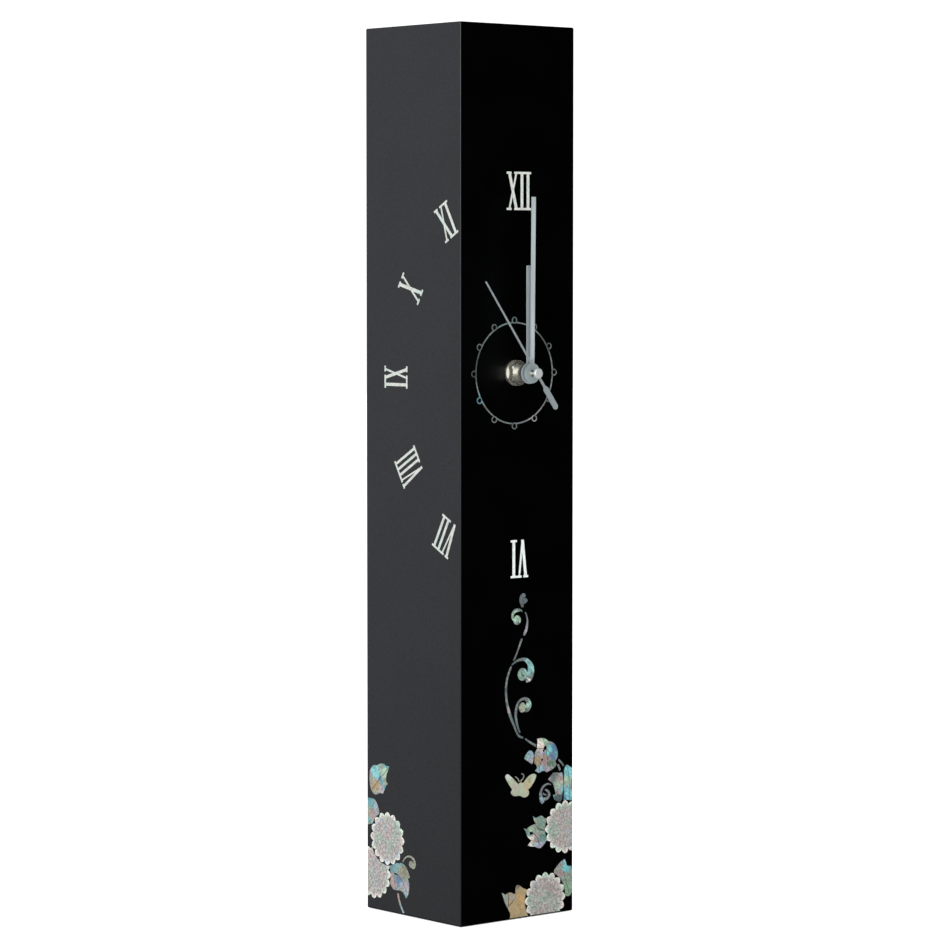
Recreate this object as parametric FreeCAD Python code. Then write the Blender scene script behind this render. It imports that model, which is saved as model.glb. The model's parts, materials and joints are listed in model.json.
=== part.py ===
"""A tall square column clock in black lacquer with shell inlay and a quartz movement.

All sizes are in millimetres. The origin is the centre of the underside, +Z is up, and the dial
faces -Y. A length called "depth" in the movement is measured backwards from the inside of the
movement's front wall; a length called "proud" is measured forwards from the front face.
"""

import math
import os

import FreeCAD, Part

V = FreeCAD.Vector
BACKWARDS = V(0, 1, 0)
UPRIGHT = V(0, 0, 1)

# ---------------------------------------------------------------- case
CASE_WIDTH = 75.0
CASE_HEIGHT = 450.0
PANEL = 6.0
EDGE_ROUND = 0.8
HALF = CASE_WIDTH / 2
FRONT_Y = -HALF
BACK_INSIDE_Y = HALF - PANEL

FELT_WIDTH = 67.0
FELT_THICK = 1.0
FELT_PROUD = 0.3

# ---------------------------------------------------------------- rear door
DOOR_OPENING_WIDTH = 54.0
DOOR_OPENING_HEIGHT = 80.0
DOOR_GAP = 0.25
FINGER_HOLE_R = 8.0
FINGER_HOLE_ABOVE_CENTRE = 24.0
STOP_WIDTH = 11.5
STOP_THICK = 4.0
STOP_LENGTH = 90.0
MAGNET_R = 2.5
MAGNET_THICK = 3.0
MAGNET_FROM_MIDDLE = 23.4
MAGNET_FROM_CENTRE = 30.0

# ---------------------------------------------------------------- movement
AXIS_X = -2.0
AXIS_Z = 276.4
DOOR_Z = AXIS_Z
RUBBER_THICK = 1.0
SHELL_WALL = 1.5
DEPTH_ZERO_Y = FRONT_Y + PANEL + RUBBER_THICK + SHELL_WALL
MOVEMENT_HALF = 28.0
CAVITY_HALF = MOVEMENT_HALF - SHELL_WALL
CORNER_R = 2.0
TRAY_DEPTH = 11.4
COVER_THICK = 1.2
COVER_REAR = TRAY_DEPTH + COVER_THICK
MIDDLE_PLATE = (5.2, 6.2)
PLATE_GAP = 0.2
POST_R = 1.5
POSTS = ((-24.3, 24.3), (-24.3, -7.5), (24.3, -7.5), (24.3, 10.0))

# The battery bay lies along the bottom of the movement, open to the rear.
BAY_LOW = -26.5
BAY_TOP = -11.6
BAY_REAR = 14.5
GEAR_CAVITY_LOW = BAY_TOP + SHELL_WALL
BATTERY_R = 7.25
BATTERY_DEPTH = 7.35
BATTERY_HEIGHT = (BAY_LOW + BAY_TOP) / 2
BATTERY_LEFT = -24.4
BATTERY_RIGHT = 25.0
SLEEVE_THICK = 0.15
NUB_R = 2.75
NUB_LENGTH = 1.1
CONTACT_THICK = 0.3
CONTACT_HALF = 5.0
CONTACT_LAYER = (0.5, 13.0)
LEAF_LAYER = (4.0, 11.0)

# ---------------------------------------------------------------- shafts and fits
RUNNING_GAP = 0.05
FIT_GAP = 0.03
SECOND_SHAFT_R = 0.5
MINUTE_TUBE = (0.6, 1.75)
HOUR_TUBE = (1.85, 2.55)
BUSH = (2.65, 4.0)
BUSH_FLANGE_R = 6.0
BUSH_FLANGE_THICK = 0.7
ARBOR_R = 0.4
SETTING_SHAFT_R = 1.25
SETTING_SHAFT_REAR = BAY_REAR - 0.4
PIVOT_DEPTH = 0.6
END_PLAY = 0.1

# ---------------------------------------------------------------- gear train
# Two trains: rotor -> intermediate -> second -> third -> centre wheel, and cannon -> minute
# wheel -> hour wheel. Each layer is (front depth, rear depth).
PRESSURE_ANGLE = math.radians(20)
ADDENDUM = 0.65
DEDENDUM = 1.0
BACKLASH = 0.16
HOUR_LAYER = (0.4, 1.6)
SETTING_LAYER = (2.0, 3.4)
CENTRE_LAYER = (3.6, 4.8)
THIRD_LAYER = (6.6, 7.8)
SECOND_LAYER = (8.2, 9.4)
ROTOR_LAYER = (9.6, 10.8)
MAGNET_LAYER = (6.8, 9.4)

PINION_TEETH = 10
HOUR_TEETH = 40
CANNON_TEETH = 12
MINUTE_TEETH = 36
CENTRE_TEETH = 80
THIRD_TEETH = 75
SECOND_TEETH = 50
INTERMEDIATE_TEETH = 60

MINUTE_WHEEL_DISTANCE = 9.6
THIRD_DISTANCE = 10.2
INTERMEDIATE_DISTANCE = 9.0
ROTOR_DISTANCE = 8.75


def module_for(distance, teeth, other_teeth):
    """Module of two meshing gears that stand a given distance apart."""
    return 2 * distance / (teeth + other_teeth)


HOUR_MODULE = module_for(MINUTE_WHEEL_DISTANCE, HOUR_TEETH, PINION_TEETH)
CANNON_MODULE = module_for(MINUTE_WHEEL_DISTANCE, CANNON_TEETH, MINUTE_TEETH)
CENTRE_MODULE = module_for(THIRD_DISTANCE, CENTRE_TEETH, PINION_TEETH)
THIRD_MODULE = module_for(THIRD_DISTANCE, THIRD_TEETH, PINION_TEETH)
SECOND_MODULE = module_for(INTERMEDIATE_DISTANCE, SECOND_TEETH, PINION_TEETH)
ROTOR_MODULE = module_for(ROTOR_DISTANCE, INTERMEDIATE_TEETH, PINION_TEETH)


def step(start, distance, degrees):
    """Point at a distance from another, in a direction counted from +X towards +Z."""
    turn = math.radians(degrees)
    return (start[0] + distance * math.cos(turn), start[1] + distance * math.sin(turn))


TO_MINUTE_WHEEL = 180
TO_SETTING_GEAR = 158
TO_THIRD = 135
TO_INTERMEDIATE = 45
TO_ROTOR = 24
CENTRE = (0.0, 0.0)
MINUTE_WHEEL_AT = step(CENTRE, MINUTE_WHEEL_DISTANCE, TO_MINUTE_WHEEL)
SETTING_AT = step(MINUTE_WHEEL_AT, MINUTE_WHEEL_DISTANCE, TO_SETTING_GEAR)
THIRD_AT = step(CENTRE, THIRD_DISTANCE, TO_THIRD)
INTERMEDIATE_AT = step(CENTRE, INTERMEDIATE_DISTANCE, TO_INTERMEDIATE)
ROTOR_AT = step(INTERMEDIATE_AT, ROTOR_DISTANCE, TO_ROTOR)

# ---------------------------------------------------------------- motor and circuit
STATOR = (7.2, 8.2)
POLE_R = 5.2
ROTOR_R = 3.0
ROTOR_HOLE_R = 3.4
CORE_THICK = 1.2
CORE_HALF = 1.2
CORE_DEPTH = STATOR[1] + CORE_THICK / 2
COIL_LOW = 21.0
COIL_TOP = 26.0
COIL_MIDDLE = (COIL_LOW + COIL_TOP) / 2
COIL_EARS = ((0.0, 3.0), (22.0, 25.0))
BOBBIN = (3.5, 21.5)
BOBBIN_FLANGE = 0.8
BOBBIN_HOLE_HALF = 1.25
BARREL_HALF = 1.6
WINDING_HALF = 2.15
FLANGE_HALF = 2.3
BOARD = (-21.0, -1.5, 17.4, 26.0)
BOARD_LAYER = (MIDDLE_PLATE[1], MIDDLE_PLATE[1] + 0.8)
CRYSTAL_R = 1.0
CRYSTAL_LENGTH = 6.5

# ---------------------------------------------------------------- setting knob
KNOB_R = 5.0
KNOB_GRIPS = 24
GRIP_R = 0.4
KNOB_FRONT = COVER_REAR + 0.3
KNOB_REAR = BAY_REAR + 0.5
MINUTE_POST_R = 1.0
SETTING_BOSS_R = 2.4

# ---------------------------------------------------------------- hub and hands
PANEL_HOLE_R = 4.3
WASHER_R = 6.5
WASHER_THICK = 1.0
WASHER_FIT = 0.1
RUBBER_R = 11.0
NUT_ACROSS_CORNERS = 12.7
NUT_THICK = 3.8
NUT_CHAMFER = 0.6
BUSH_PROUD = 7.5
HAND_THICK = 0.5
TUBE_BEYOND_HAND = 0.4
HOUR_HAND_PROUD = 11.3
HOUR_HAND_LENGTH = 53.6
HOUR_HAND_WIDTH = 3.7
HOUR_HUB_R = 5.3
HOUR_COLLAR_R = 3.3
HOUR_COLLAR_LENGTH = 2.0
MINUTE_HAND_PROUD = 13.4
MINUTE_HAND_LENGTH = 87.6
MINUTE_HAND_WIDTH = 2.5
MINUTE_HAND_TURN = 0.6
MINUTE_HUB_R = 5.0
MINUTE_COLLAR_R = 2.6
MINUTE_COLLAR_LENGTH = 1.5
SECOND_HAND_PROUD = 17.0
SECOND_HAND_THICK = 0.4
SECOND_HAND_LENGTH = 56.6
SECOND_HAND_TURN = -36.2
SECOND_HUB_R = 2.2
NEEDLE_WIDTH = 1.1
NEEDLE_TIP_WIDTH = 0.75
TAIL_LENGTH = 22.3
TAIL_NECK_LENGTH = 8.2
TAIL_NECK_WIDTH = 1.3
PADDLE_WIDTH = 3.1
CAP_R = 2.6
CAP_PROUD = 18.6
CAP_FRONT = 0.9
CAP_ROUND = 0.7

# ---------------------------------------------------------------- inlay
INLAY_PROUD = 0.2
INLAY_GAP = 0.15
FRONT_NUMERAL_HEIGHT = 19.1
SIDE_NUMERAL_HEIGHT = 18.3
LETTER_HEIGHT = 19.0
LETTER_WIDTH = {"I": 4.0, "V": 7.5, "X": 8.0}
THICK_STROKE = 1.7
THIN_STROKE = 1.05
SERIF = 1.1
SERIF_LENGTH = 3.1
FLOWER_PETALS = 16
FLOWER_R = 13.6
PETAL_DIP = 1.5
MIDDLE_FLOWER = (32.0, 44.0)
FOOT_FLOWER = (18.5, 8.5)
LEFT_FLOWER = (-95.5, 38.0)
LEFT_FOOT_FLOWER = (-106.5, 19.5)
RING_AT = (-2.4, 276.2)
RING_R = 25.3
RING_LINE = 0.7
LOOP_AT_R = 26.5
LOOP_R = 1.7
LOOP_LINE = 0.5
HOURS = 12


# ================================================================ basic solids
def cylinder(at, radius, front, rear):
    """Cylinder along the movement's depth, at a point of the movement's plane."""
    base = V(AXIS_X + at[0], DEPTH_ZERO_Y + front, AXIS_Z + at[1])
    return Part.makeCylinder(radius, rear - front, base, BACKWARDS)


def tube(at, inner, outer, front, rear):
    """Tube along the movement's depth."""
    return cylinder(at, outer, front, rear).cut(cylinder(at, inner, front, rear))


def block(left, right, low, top, front, rear):
    """Box in the movement's plane between two depths."""
    corner = V(AXIS_X + left, DEPTH_ZERO_Y + front, AXIS_Z + low)
    return Part.makeBox(right - left, rear - front, top - low, corner)


def plate(points, front, rear):
    """Flat plate with straight sides, cut to an outline in the movement's plane."""
    corners = [V(AXIS_X + u, DEPTH_ZERO_Y + front, AXIS_Z + v) for u, v in points]
    face = Part.Face(Part.makePolygon(corners + corners[:1]))
    return face.extrude(V(0, rear - front, 0))


def from_front(proud):
    """Depth in the movement of a plane that stands in front of the case's front face."""
    return FRONT_Y - proud - DEPTH_ZERO_Y


def with_round_corners(solid, radius):
    """Rounds the four edges that run from front to rear."""
    corners = [edge for edge in solid.Edges if abs(edge.tangentAt(edge.FirstParameter).y) > 0.5]
    return solid.makeFillet(radius, corners)


# ================================================================ case
def flat_quad(corners):
    return Part.Face(Part.makePolygon(corners + corners[:1]))


def mitred_panel(axis, side):
    """One panel of the case, mitred at 45 degrees on all four edges.

    axis is 0, 1 or 2 for X, Y or Z, and side is 0 for the low face and 1 for the high one.
    """
    outer = ((-HALF, -HALF, FELT_PROUD), (HALF, HALF, CASE_HEIGHT))
    inner = (tuple(low + PANEL for low in outer[0]), tuple(high - PANEL for high in outer[1]))
    across, along = [other for other in (0, 1, 2) if other != axis]
    rings = []
    for box in (outer, inner):
        ring = []
        for i, j in ((0, 0), (1, 0), (1, 1), (0, 1)):
            corner = [0.0, 0.0, 0.0]
            corner[axis] = box[side][axis]
            corner[across] = box[i][across]
            corner[along] = box[j][along]
            ring.append(V(*corner))
        rings.append(ring)
    faces = [flat_quad(rings[0]), flat_quad(rings[1])]
    for n in range(4):
        after = (n + 1) % 4
        faces.append(flat_quad([rings[0][n], rings[0][after], rings[1][after], rings[1][n]]))
    solid = Part.Solid(Part.Shell(faces))
    if solid.Volume < 0:
        solid.reverse()
    return solid.common(rounded_case())


def rounded_case():
    """The whole outside of the case, with its edges eased."""
    height = CASE_HEIGHT - FELT_PROUD
    box = Part.makeBox(CASE_WIDTH, CASE_WIDTH, height, V(-HALF, -HALF, FELT_PROUD))
    return box.makeFillet(EDGE_ROUND, box.Edges)


def door_opening(gap):
    """Block through the back panel where the door goes, smaller than the opening by a gap."""
    width = DOOR_OPENING_WIDTH - 2 * gap
    height = DOOR_OPENING_HEIGHT - 2 * gap
    return Part.makeBox(width, PANEL, height, V(-width / 2, BACK_INSIDE_Y, DOOR_Z - height / 2))


def magnets(front_y, radius, thickness):
    """Four round magnets, one near each corner of the rear door."""
    discs = []
    for x in (-MAGNET_FROM_MIDDLE, MAGNET_FROM_MIDDLE):
        for z in (DOOR_Z - MAGNET_FROM_CENTRE, DOOR_Z + MAGNET_FROM_CENTRE):
            discs.append(Part.makeCylinder(radius, thickness, V(x, front_y, z), BACKWARDS))
    return Part.Compound(discs)


def front_panel():
    hole = cylinder(CENTRE, PANEL_HOLE_R, from_front(1), 0)
    return mitred_panel(1, 0).cut(hole)


def back_panel():
    return mitred_panel(1, 1).cut(door_opening(0))


def bottom_panel():
    width = FELT_WIDTH + 2 * FIT_GAP
    recess = Part.makeBox(width, width, FELT_THICK, V(-width / 2, -width / 2, 0))
    return mitred_panel(2, 0).cut(recess)


def base_felt():
    half = FELT_WIDTH / 2
    return Part.makeBox(FELT_WIDTH, FELT_WIDTH, FELT_THICK, V(-half, -half, 0))


def rear_door():
    hole_at = V(0, BACK_INSIDE_Y, DOOR_Z + FINGER_HOLE_ABOVE_CENTRE)
    hole = Part.makeCylinder(FINGER_HOLE_R, PANEL, hole_at, BACKWARDS)
    pockets = magnets(BACK_INSIDE_Y, MAGNET_R + FIT_GAP, MAGNET_THICK)
    return door_opening(DOOR_GAP).cut(hole).cut(pockets)


def door_magnets():
    """Set a hair below the door's inner face, so that the door closes on its stops."""
    return magnets(BACK_INSIDE_Y + FIT_GAP, MAGNET_R, MAGNET_THICK - FIT_GAP)


def case_magnets():
    return magnets(BACK_INSIDE_Y - MAGNET_THICK, MAGNET_R, MAGNET_THICK - FIT_GAP)


def door_stops():
    """Two battens glued inside the back panel, which the door closes against."""
    battens = []
    low = DOOR_Z - STOP_LENGTH / 2
    for left in (-HALF + PANEL, HALF - PANEL - STOP_WIDTH):
        corner = V(left, BACK_INSIDE_Y - STOP_THICK, low)
        battens.append(Part.makeBox(STOP_WIDTH, STOP_THICK, STOP_LENGTH, corner))
    pockets = magnets(BACK_INSIDE_Y - MAGNET_THICK, MAGNET_R + FIT_GAP, MAGNET_THICK)
    return Part.Compound([batten.cut(pockets) for batten in battens])


# ================================================================ gears
def gear(teeth, module, at, layer, phase):
    """Spur gear with stub involute teeth. phase is the angle of one tooth's middle, in degrees."""
    pitch_r = teeth * module / 2
    base_r = pitch_r * math.cos(PRESSURE_ANGLE)
    root_r = pitch_r - DEDENDUM * module
    tip_r = pitch_r + ADDENDUM * module
    radii = sorted({root_r, max(root_r, base_r), pitch_r, tip_r})
    involute_at_pitch = math.tan(PRESSURE_ANGLE) - PRESSURE_ANGLE
    half_at_pitch = (math.pi / 2 - BACKLASH) / teeth

    def half_tooth(radius):
        slope = math.acos(min(1.0, base_r / radius))
        return math.degrees(half_at_pitch + involute_at_pitch - (math.tan(slope) - slope))

    outline = []
    for tooth in range(teeth):
        middle = phase + 360 * tooth / teeth
        outline += [step(at, radius, middle - half_tooth(radius)) for radius in radii]
        outline += [step(at, radius, middle + half_tooth(radius)) for radius in reversed(radii)]
    return plate(outline, *layer)


def meshing_phase(direction, teeth, phase, other_teeth):
    """Phase of the gear that meshes with one of a known phase, in a given direction."""
    into_tooth = (direction - phase) * teeth / 360
    return direction + 180 - (0.5 - into_tooth) * 360 / other_teeth


CANNON_PHASE = 0.0
SECOND_PHASE = 0.0
MINUTE_WHEEL_PHASE = meshing_phase(TO_MINUTE_WHEEL, CANNON_TEETH, CANNON_PHASE, MINUTE_TEETH)
SETTING_PHASE = meshing_phase(TO_SETTING_GEAR, MINUTE_TEETH, MINUTE_WHEEL_PHASE, CANNON_TEETH)
MINUTE_PINION_PHASE = meshing_phase(TO_MINUTE_WHEEL, HOUR_TEETH, 0.0, PINION_TEETH)
THIRD_WHEEL_PHASE = meshing_phase(TO_THIRD, PINION_TEETH, SECOND_PHASE, THIRD_TEETH)
THIRD_PINION_PHASE = meshing_phase(TO_THIRD, CENTRE_TEETH, 0.0, PINION_TEETH)
INTERMEDIATE_PINION_PHASE = meshing_phase(
    TO_INTERMEDIATE, SECOND_TEETH, SECOND_PHASE, PINION_TEETH
)
ROTOR_PHASE = meshing_phase(TO_ROTOR, INTERMEDIATE_TEETH, 0.0, PINION_TEETH)


def centre_wheel():
    """Grips the minute cannon by friction, so that the hands can be set by hand."""
    wheel = gear(CENTRE_TEETH, CENTRE_MODULE, CENTRE, CENTRE_LAYER, 0.0)
    return wheel.cut(cylinder(CENTRE, MINUTE_TUBE[1] + RUNNING_GAP, *CENTRE_LAYER))


def third_wheel():
    arbor = cylinder(THIRD_AT, ARBOR_R, CENTRE_LAYER[0], TRAY_DEPTH + PIVOT_DEPTH - RUNNING_GAP)
    pinion = gear(PINION_TEETH, CENTRE_MODULE, THIRD_AT, CENTRE_LAYER, THIRD_PINION_PHASE)
    wheel = gear(THIRD_TEETH, THIRD_MODULE, THIRD_AT, THIRD_LAYER, THIRD_WHEEL_PHASE)
    return arbor.fuse([pinion, wheel])


def second_wheel():
    """Second shaft, which carries the second hand in front, with its wheel and pinion."""
    rear = TRAY_DEPTH + PIVOT_DEPTH - RUNNING_GAP
    shaft = cylinder(CENTRE, SECOND_SHAFT_R, from_front(CAP_PROUD - CAP_FRONT), rear)
    pinion_layer = (THIRD_LAYER[0], SECOND_LAYER[0])
    pinion = gear(PINION_TEETH, THIRD_MODULE, CENTRE, pinion_layer, SECOND_PHASE)
    wheel = gear(SECOND_TEETH, SECOND_MODULE, CENTRE, SECOND_LAYER, SECOND_PHASE)
    return shaft.fuse([pinion, wheel])


def intermediate_wheel():
    front = MIDDLE_PLATE[0] + RUNNING_GAP
    arbor = cylinder(INTERMEDIATE_AT, ARBOR_R, front, TRAY_DEPTH + PIVOT_DEPTH - RUNNING_GAP)
    pinion_layer = (SECOND_LAYER[0], ROTOR_LAYER[0])
    pinion = gear(
        PINION_TEETH, SECOND_MODULE, INTERMEDIATE_AT, pinion_layer, INTERMEDIATE_PINION_PHASE
    )
    wheel = gear(INTERMEDIATE_TEETH, ROTOR_MODULE, INTERMEDIATE_AT, ROTOR_LAYER, 0.0)
    return arbor.fuse([pinion, wheel])


def rotor_pinion():
    front = MIDDLE_PLATE[0] + RUNNING_GAP
    arbor = cylinder(ROTOR_AT, ARBOR_R, front, TRAY_DEPTH + PIVOT_DEPTH - RUNNING_GAP)
    pinion = gear(PINION_TEETH, ROTOR_MODULE, ROTOR_AT, ROTOR_LAYER, ROTOR_PHASE)
    return arbor.fuse(pinion)


def rotor_magnet():
    return tube(ROTOR_AT, ARBOR_R + FIT_GAP, ROTOR_R, *MAGNET_LAYER)


def minute_cannon():
    """Tube that carries the minute hand, with a pinion that drives the minute wheel."""
    inner, outer = MINUTE_TUBE
    pinion = gear(CANNON_TEETH, CANNON_MODULE, CENTRE, SETTING_LAYER, CANNON_PHASE)
    front = from_front(MINUTE_HAND_PROUD + TUBE_BEYOND_HAND)
    rear = MIDDLE_PLATE[0] - PLATE_GAP
    body = cylinder(CENTRE, outer, front, rear).fuse(pinion)
    return body.cut(cylinder(CENTRE, inner, front, rear))


def minute_wheel():
    pinion_layer = (HOUR_LAYER[0], SETTING_LAYER[0])
    pinion = gear(PINION_TEETH, HOUR_MODULE, MINUTE_WHEEL_AT, pinion_layer, MINUTE_PINION_PHASE)
    wheel = gear(MINUTE_TEETH, CANNON_MODULE, MINUTE_WHEEL_AT, SETTING_LAYER, MINUTE_WHEEL_PHASE)
    bore = cylinder(MINUTE_WHEEL_AT, MINUTE_POST_R + RUNNING_GAP, HOUR_LAYER[0], SETTING_LAYER[1])
    return pinion.fuse(wheel).cut(bore)


def hour_wheel():
    """Tube that carries the hour hand, with its wheel inside the movement."""
    inner, outer = HOUR_TUBE
    wheel = gear(HOUR_TEETH, HOUR_MODULE, CENTRE, HOUR_LAYER, 0.0)
    front = from_front(HOUR_HAND_PROUD + TUBE_BEYOND_HAND)
    body = cylinder(CENTRE, outer, front, HOUR_LAYER[1]).fuse(wheel)
    return body.cut(cylinder(CENTRE, inner, front, HOUR_LAYER[1]))


def setting_gear():
    """Shaft that runs back through the cover to the setting knob."""
    shaft = cylinder(SETTING_AT, SETTING_SHAFT_R, END_PLAY, SETTING_SHAFT_REAR)
    return shaft.fuse(gear(CANNON_TEETH, CANNON_MODULE, SETTING_AT, SETTING_LAYER, SETTING_PHASE))


def setting_knob():
    """Knurled knob on the rear end of the setting shaft."""
    body = cylinder(SETTING_AT, KNOB_R, KNOB_FRONT, KNOB_REAR)
    for n in range(KNOB_GRIPS):
        groove_at = step(SETTING_AT, KNOB_R + 0.1, 360 * n / KNOB_GRIPS)
        body = body.cut(cylinder(groove_at, GRIP_R, KNOB_FRONT, KNOB_REAR))
    hole_rear = SETTING_SHAFT_REAR + END_PLAY
    return body.cut(cylinder(SETTING_AT, SETTING_SHAFT_R + FIT_GAP, KNOB_FRONT, hole_rear))


# ================================================================ movement case
def movement_tray():
    """Front half of the movement's case, with the battery bay and the bearing posts."""
    left, right = -MOVEMENT_HALF, MOVEMENT_HALF
    body = block(left, right, left, right, -SHELL_WALL, TRAY_DEPTH)
    body = with_round_corners(body, CORNER_R)
    bay_wall = block(left, right, left, GEAR_CAVITY_LOW, -SHELL_WALL, BAY_REAR)
    bay_wall = with_round_corners(bay_wall, CORNER_R)
    body = body.fuse(bay_wall)
    cavity = CAVITY_HALF
    body = body.cut(block(-cavity, cavity, GEAR_CAVITY_LOW, cavity, 0, BAY_REAR))
    body = body.cut(block(-cavity, cavity, BAY_LOW, BAY_TOP, 0, BAY_REAR))
    body = body.cut(cylinder(CENTRE, BUSH[1] + FIT_GAP, -SHELL_WALL, 0))
    body = body.cut(cylinder(CENTRE, BUSH_FLANGE_R + FIT_GAP, -BUSH_FLANGE_THICK, 0))
    body = body.fuse([cylinder(at, POST_R, 0, MIDDLE_PLATE[0]) for at in POSTS])
    body = body.fuse(cylinder(MINUTE_WHEEL_AT, MINUTE_POST_R, 0, SETTING_LAYER[1] + END_PLAY))
    boss_rear = SETTING_LAYER[0] - 0.3
    boss = tube(SETTING_AT, SETTING_SHAFT_R + RUNNING_GAP, SETTING_BOSS_R, 0, boss_rear)
    return body.fuse(boss)


def threaded_bush():
    """Metal bush that the nut clamps the movement by, with a flange inside the tray."""
    inner, outer = BUSH
    bush = cylinder(CENTRE, outer, from_front(BUSH_PROUD), 0)
    flange = cylinder(CENTRE, BUSH_FLANGE_R, -BUSH_FLANGE_THICK, 0)
    return bush.fuse(flange).cut(cylinder(CENTRE, inner, from_front(BUSH_PROUD), 0))


def middle_plate():
    """Carries the front pivots of the train, and the coil and circuit board behind it."""
    edge = CAVITY_HALF - PLATE_GAP
    front, rear = MIDDLE_PLATE
    body = block(-edge, edge, GEAR_CAVITY_LOW + PLATE_GAP, edge, front, rear)
    for left, right in COIL_EARS:
        body = body.fuse(block(left, right, COIL_LOW, COIL_TOP, rear, STATOR[0]))
    bearings = (
        (CENTRE, SECOND_SHAFT_R),
        (THIRD_AT, ARBOR_R),
        (INTERMEDIATE_AT, ARBOR_R),
        (ROTOR_AT, ARBOR_R),
        (SETTING_AT, SETTING_SHAFT_R),
    )
    for at, radius in bearings:
        body = body.cut(cylinder(at, radius + RUNNING_GAP, front, rear))
    return body


def movement_cover():
    """Rear cover of the train, which also presses the middle plate on to its posts."""
    left, right = -MOVEMENT_HALF, MOVEMENT_HALF
    body = block(left, right, GEAR_CAVITY_LOW + END_PLAY, right, TRAY_DEPTH, COVER_REAR)
    body = with_round_corners(body, CORNER_R)
    body = body.fuse([cylinder(at, POST_R, MIDDLE_PLATE[1], TRAY_DEPTH) for at in POSTS])
    body = body.cut(cylinder(SETTING_AT, SETTING_SHAFT_R + RUNNING_GAP, TRAY_DEPTH, COVER_REAR))
    pivots = (
        (CENTRE, SECOND_SHAFT_R),
        (THIRD_AT, ARBOR_R),
        (INTERMEDIATE_AT, ARBOR_R),
        (ROTOR_AT, ARBOR_R),
    )
    for at, radius in pivots:
        pivot = cylinder(at, radius + RUNNING_GAP, TRAY_DEPTH, TRAY_DEPTH + PIVOT_DEPTH)
        body = body.cut(pivot)
    return body


# ================================================================ motor and circuit
def stator_plate():
    """Soft-iron plate that carries the coil's field to both sides of the rotor."""
    pole = cylinder(ROTOR_AT, POLE_R, *STATOR)
    left_arm = ((0, 26), (0, 21), (9.6, 10.5), (14, 14.5), (3, 21), (3, 26))
    right_arm = ((25, 26), (22, 26), (22, 21), (13.5, 14.5), (18.5, 9.5), (25, 20))
    body = pole.fuse([plate(left_arm, *STATOR), plate(right_arm, *STATOR)])
    return body.cut(cylinder(ROTOR_AT, ROTOR_HOLE_R, *STATOR))


def coil_core():
    rear = STATOR[1] + CORE_THICK
    left, right = COIL_EARS[0][0], COIL_EARS[1][1]
    low, top = COIL_MIDDLE - CORE_HALF, COIL_MIDDLE + CORE_HALF
    return block(left, right, low, top, STATOR[1], rear)


def coil_sleeve(left, right, hole_half, outer_half):
    """Square sleeve around the coil's core."""
    body = block(
        left,
        right,
        COIL_MIDDLE - outer_half,
        COIL_MIDDLE + outer_half,
        CORE_DEPTH - outer_half,
        CORE_DEPTH + outer_half,
    )
    hole = block(
        left,
        right,
        COIL_MIDDLE - hole_half,
        COIL_MIDDLE + hole_half,
        CORE_DEPTH - hole_half,
        CORE_DEPTH + hole_half,
    )
    return body.cut(hole)


def coil_bobbin():
    left, right = BOBBIN
    barrel = coil_sleeve(left, right, BOBBIN_HOLE_HALF, BARREL_HALF)
    near = coil_sleeve(left, left + BOBBIN_FLANGE, BOBBIN_HOLE_HALF, FLANGE_HALF)
    far = coil_sleeve(right - BOBBIN_FLANGE, right, BOBBIN_HOLE_HALF, FLANGE_HALF)
    return barrel.fuse([near, far])


def coil_winding():
    left, right = BOBBIN
    gap = BOBBIN_FLANGE + FIT_GAP
    return coil_sleeve(left + gap, right - gap, BARREL_HALF + FIT_GAP, WINDING_HALF)


def circuit_board():
    return block(*BOARD, *BOARD_LAYER)


def driver_chip():
    """Chip under a round drop of resin."""
    rear = BOARD_LAYER[1]
    ball_r = 4.5
    height = 1.2
    centre = V(AXIS_X - 16, DEPTH_ZERO_Y + rear + height - ball_r, AXIS_Z + 21.5)
    ball = Part.makeSphere(ball_r, centre)
    return ball.common(block(*BOARD, rear, rear + height))


def quartz_crystal():
    start = V(AXIS_X - 11, DEPTH_ZERO_Y + BOARD_LAYER[1] + CRYSTAL_R, AXIS_Z + 23)
    return Part.makeCylinder(CRYSTAL_R, CRYSTAL_LENGTH, start, V(1, 0, 0))


# ================================================================ battery
def lying_cylinder(radius, left, right):
    start = V(AXIS_X + left, DEPTH_ZERO_Y + BATTERY_DEPTH, AXIS_Z + BATTERY_HEIGHT)
    return Part.makeCylinder(radius, right - left, start, V(1, 0, 0))


def battery_can():
    can = lying_cylinder(BATTERY_R - SLEEVE_THICK, BATTERY_LEFT, BATTERY_RIGHT)
    return can.fuse(lying_cylinder(NUB_R, BATTERY_RIGHT, BATTERY_RIGHT + NUB_LENGTH))


def battery_sleeve():
    left, right = BATTERY_LEFT + 0.2, BATTERY_RIGHT - 0.2
    inner = BATTERY_R - SLEEVE_THICK
    return lying_cylinder(BATTERY_R, left, right).cut(lying_cylinder(inner, left, right))


def contact_plate(left):
    """Flat spring-metal plate on one end wall of the battery bay."""
    low, top = BATTERY_HEIGHT - CONTACT_HALF, BATTERY_HEIGHT + CONTACT_HALF
    return block(left, left + CONTACT_THICK, low, top, *CONTACT_LAYER)


def contact_positive():
    return contact_plate(CAVITY_HALF - CONTACT_THICK)


def contact_negative():
    """Plate with a bowed leaf that pushes the battery against the other contact."""
    left = -CAVITY_HALF
    reach = BATTERY_LEFT - END_PLAY - left
    leaf = bowed_leaf(left, reach, CONTACT_HALF, *LEAF_LAYER)
    return contact_plate(left).fuse(leaf)


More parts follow.
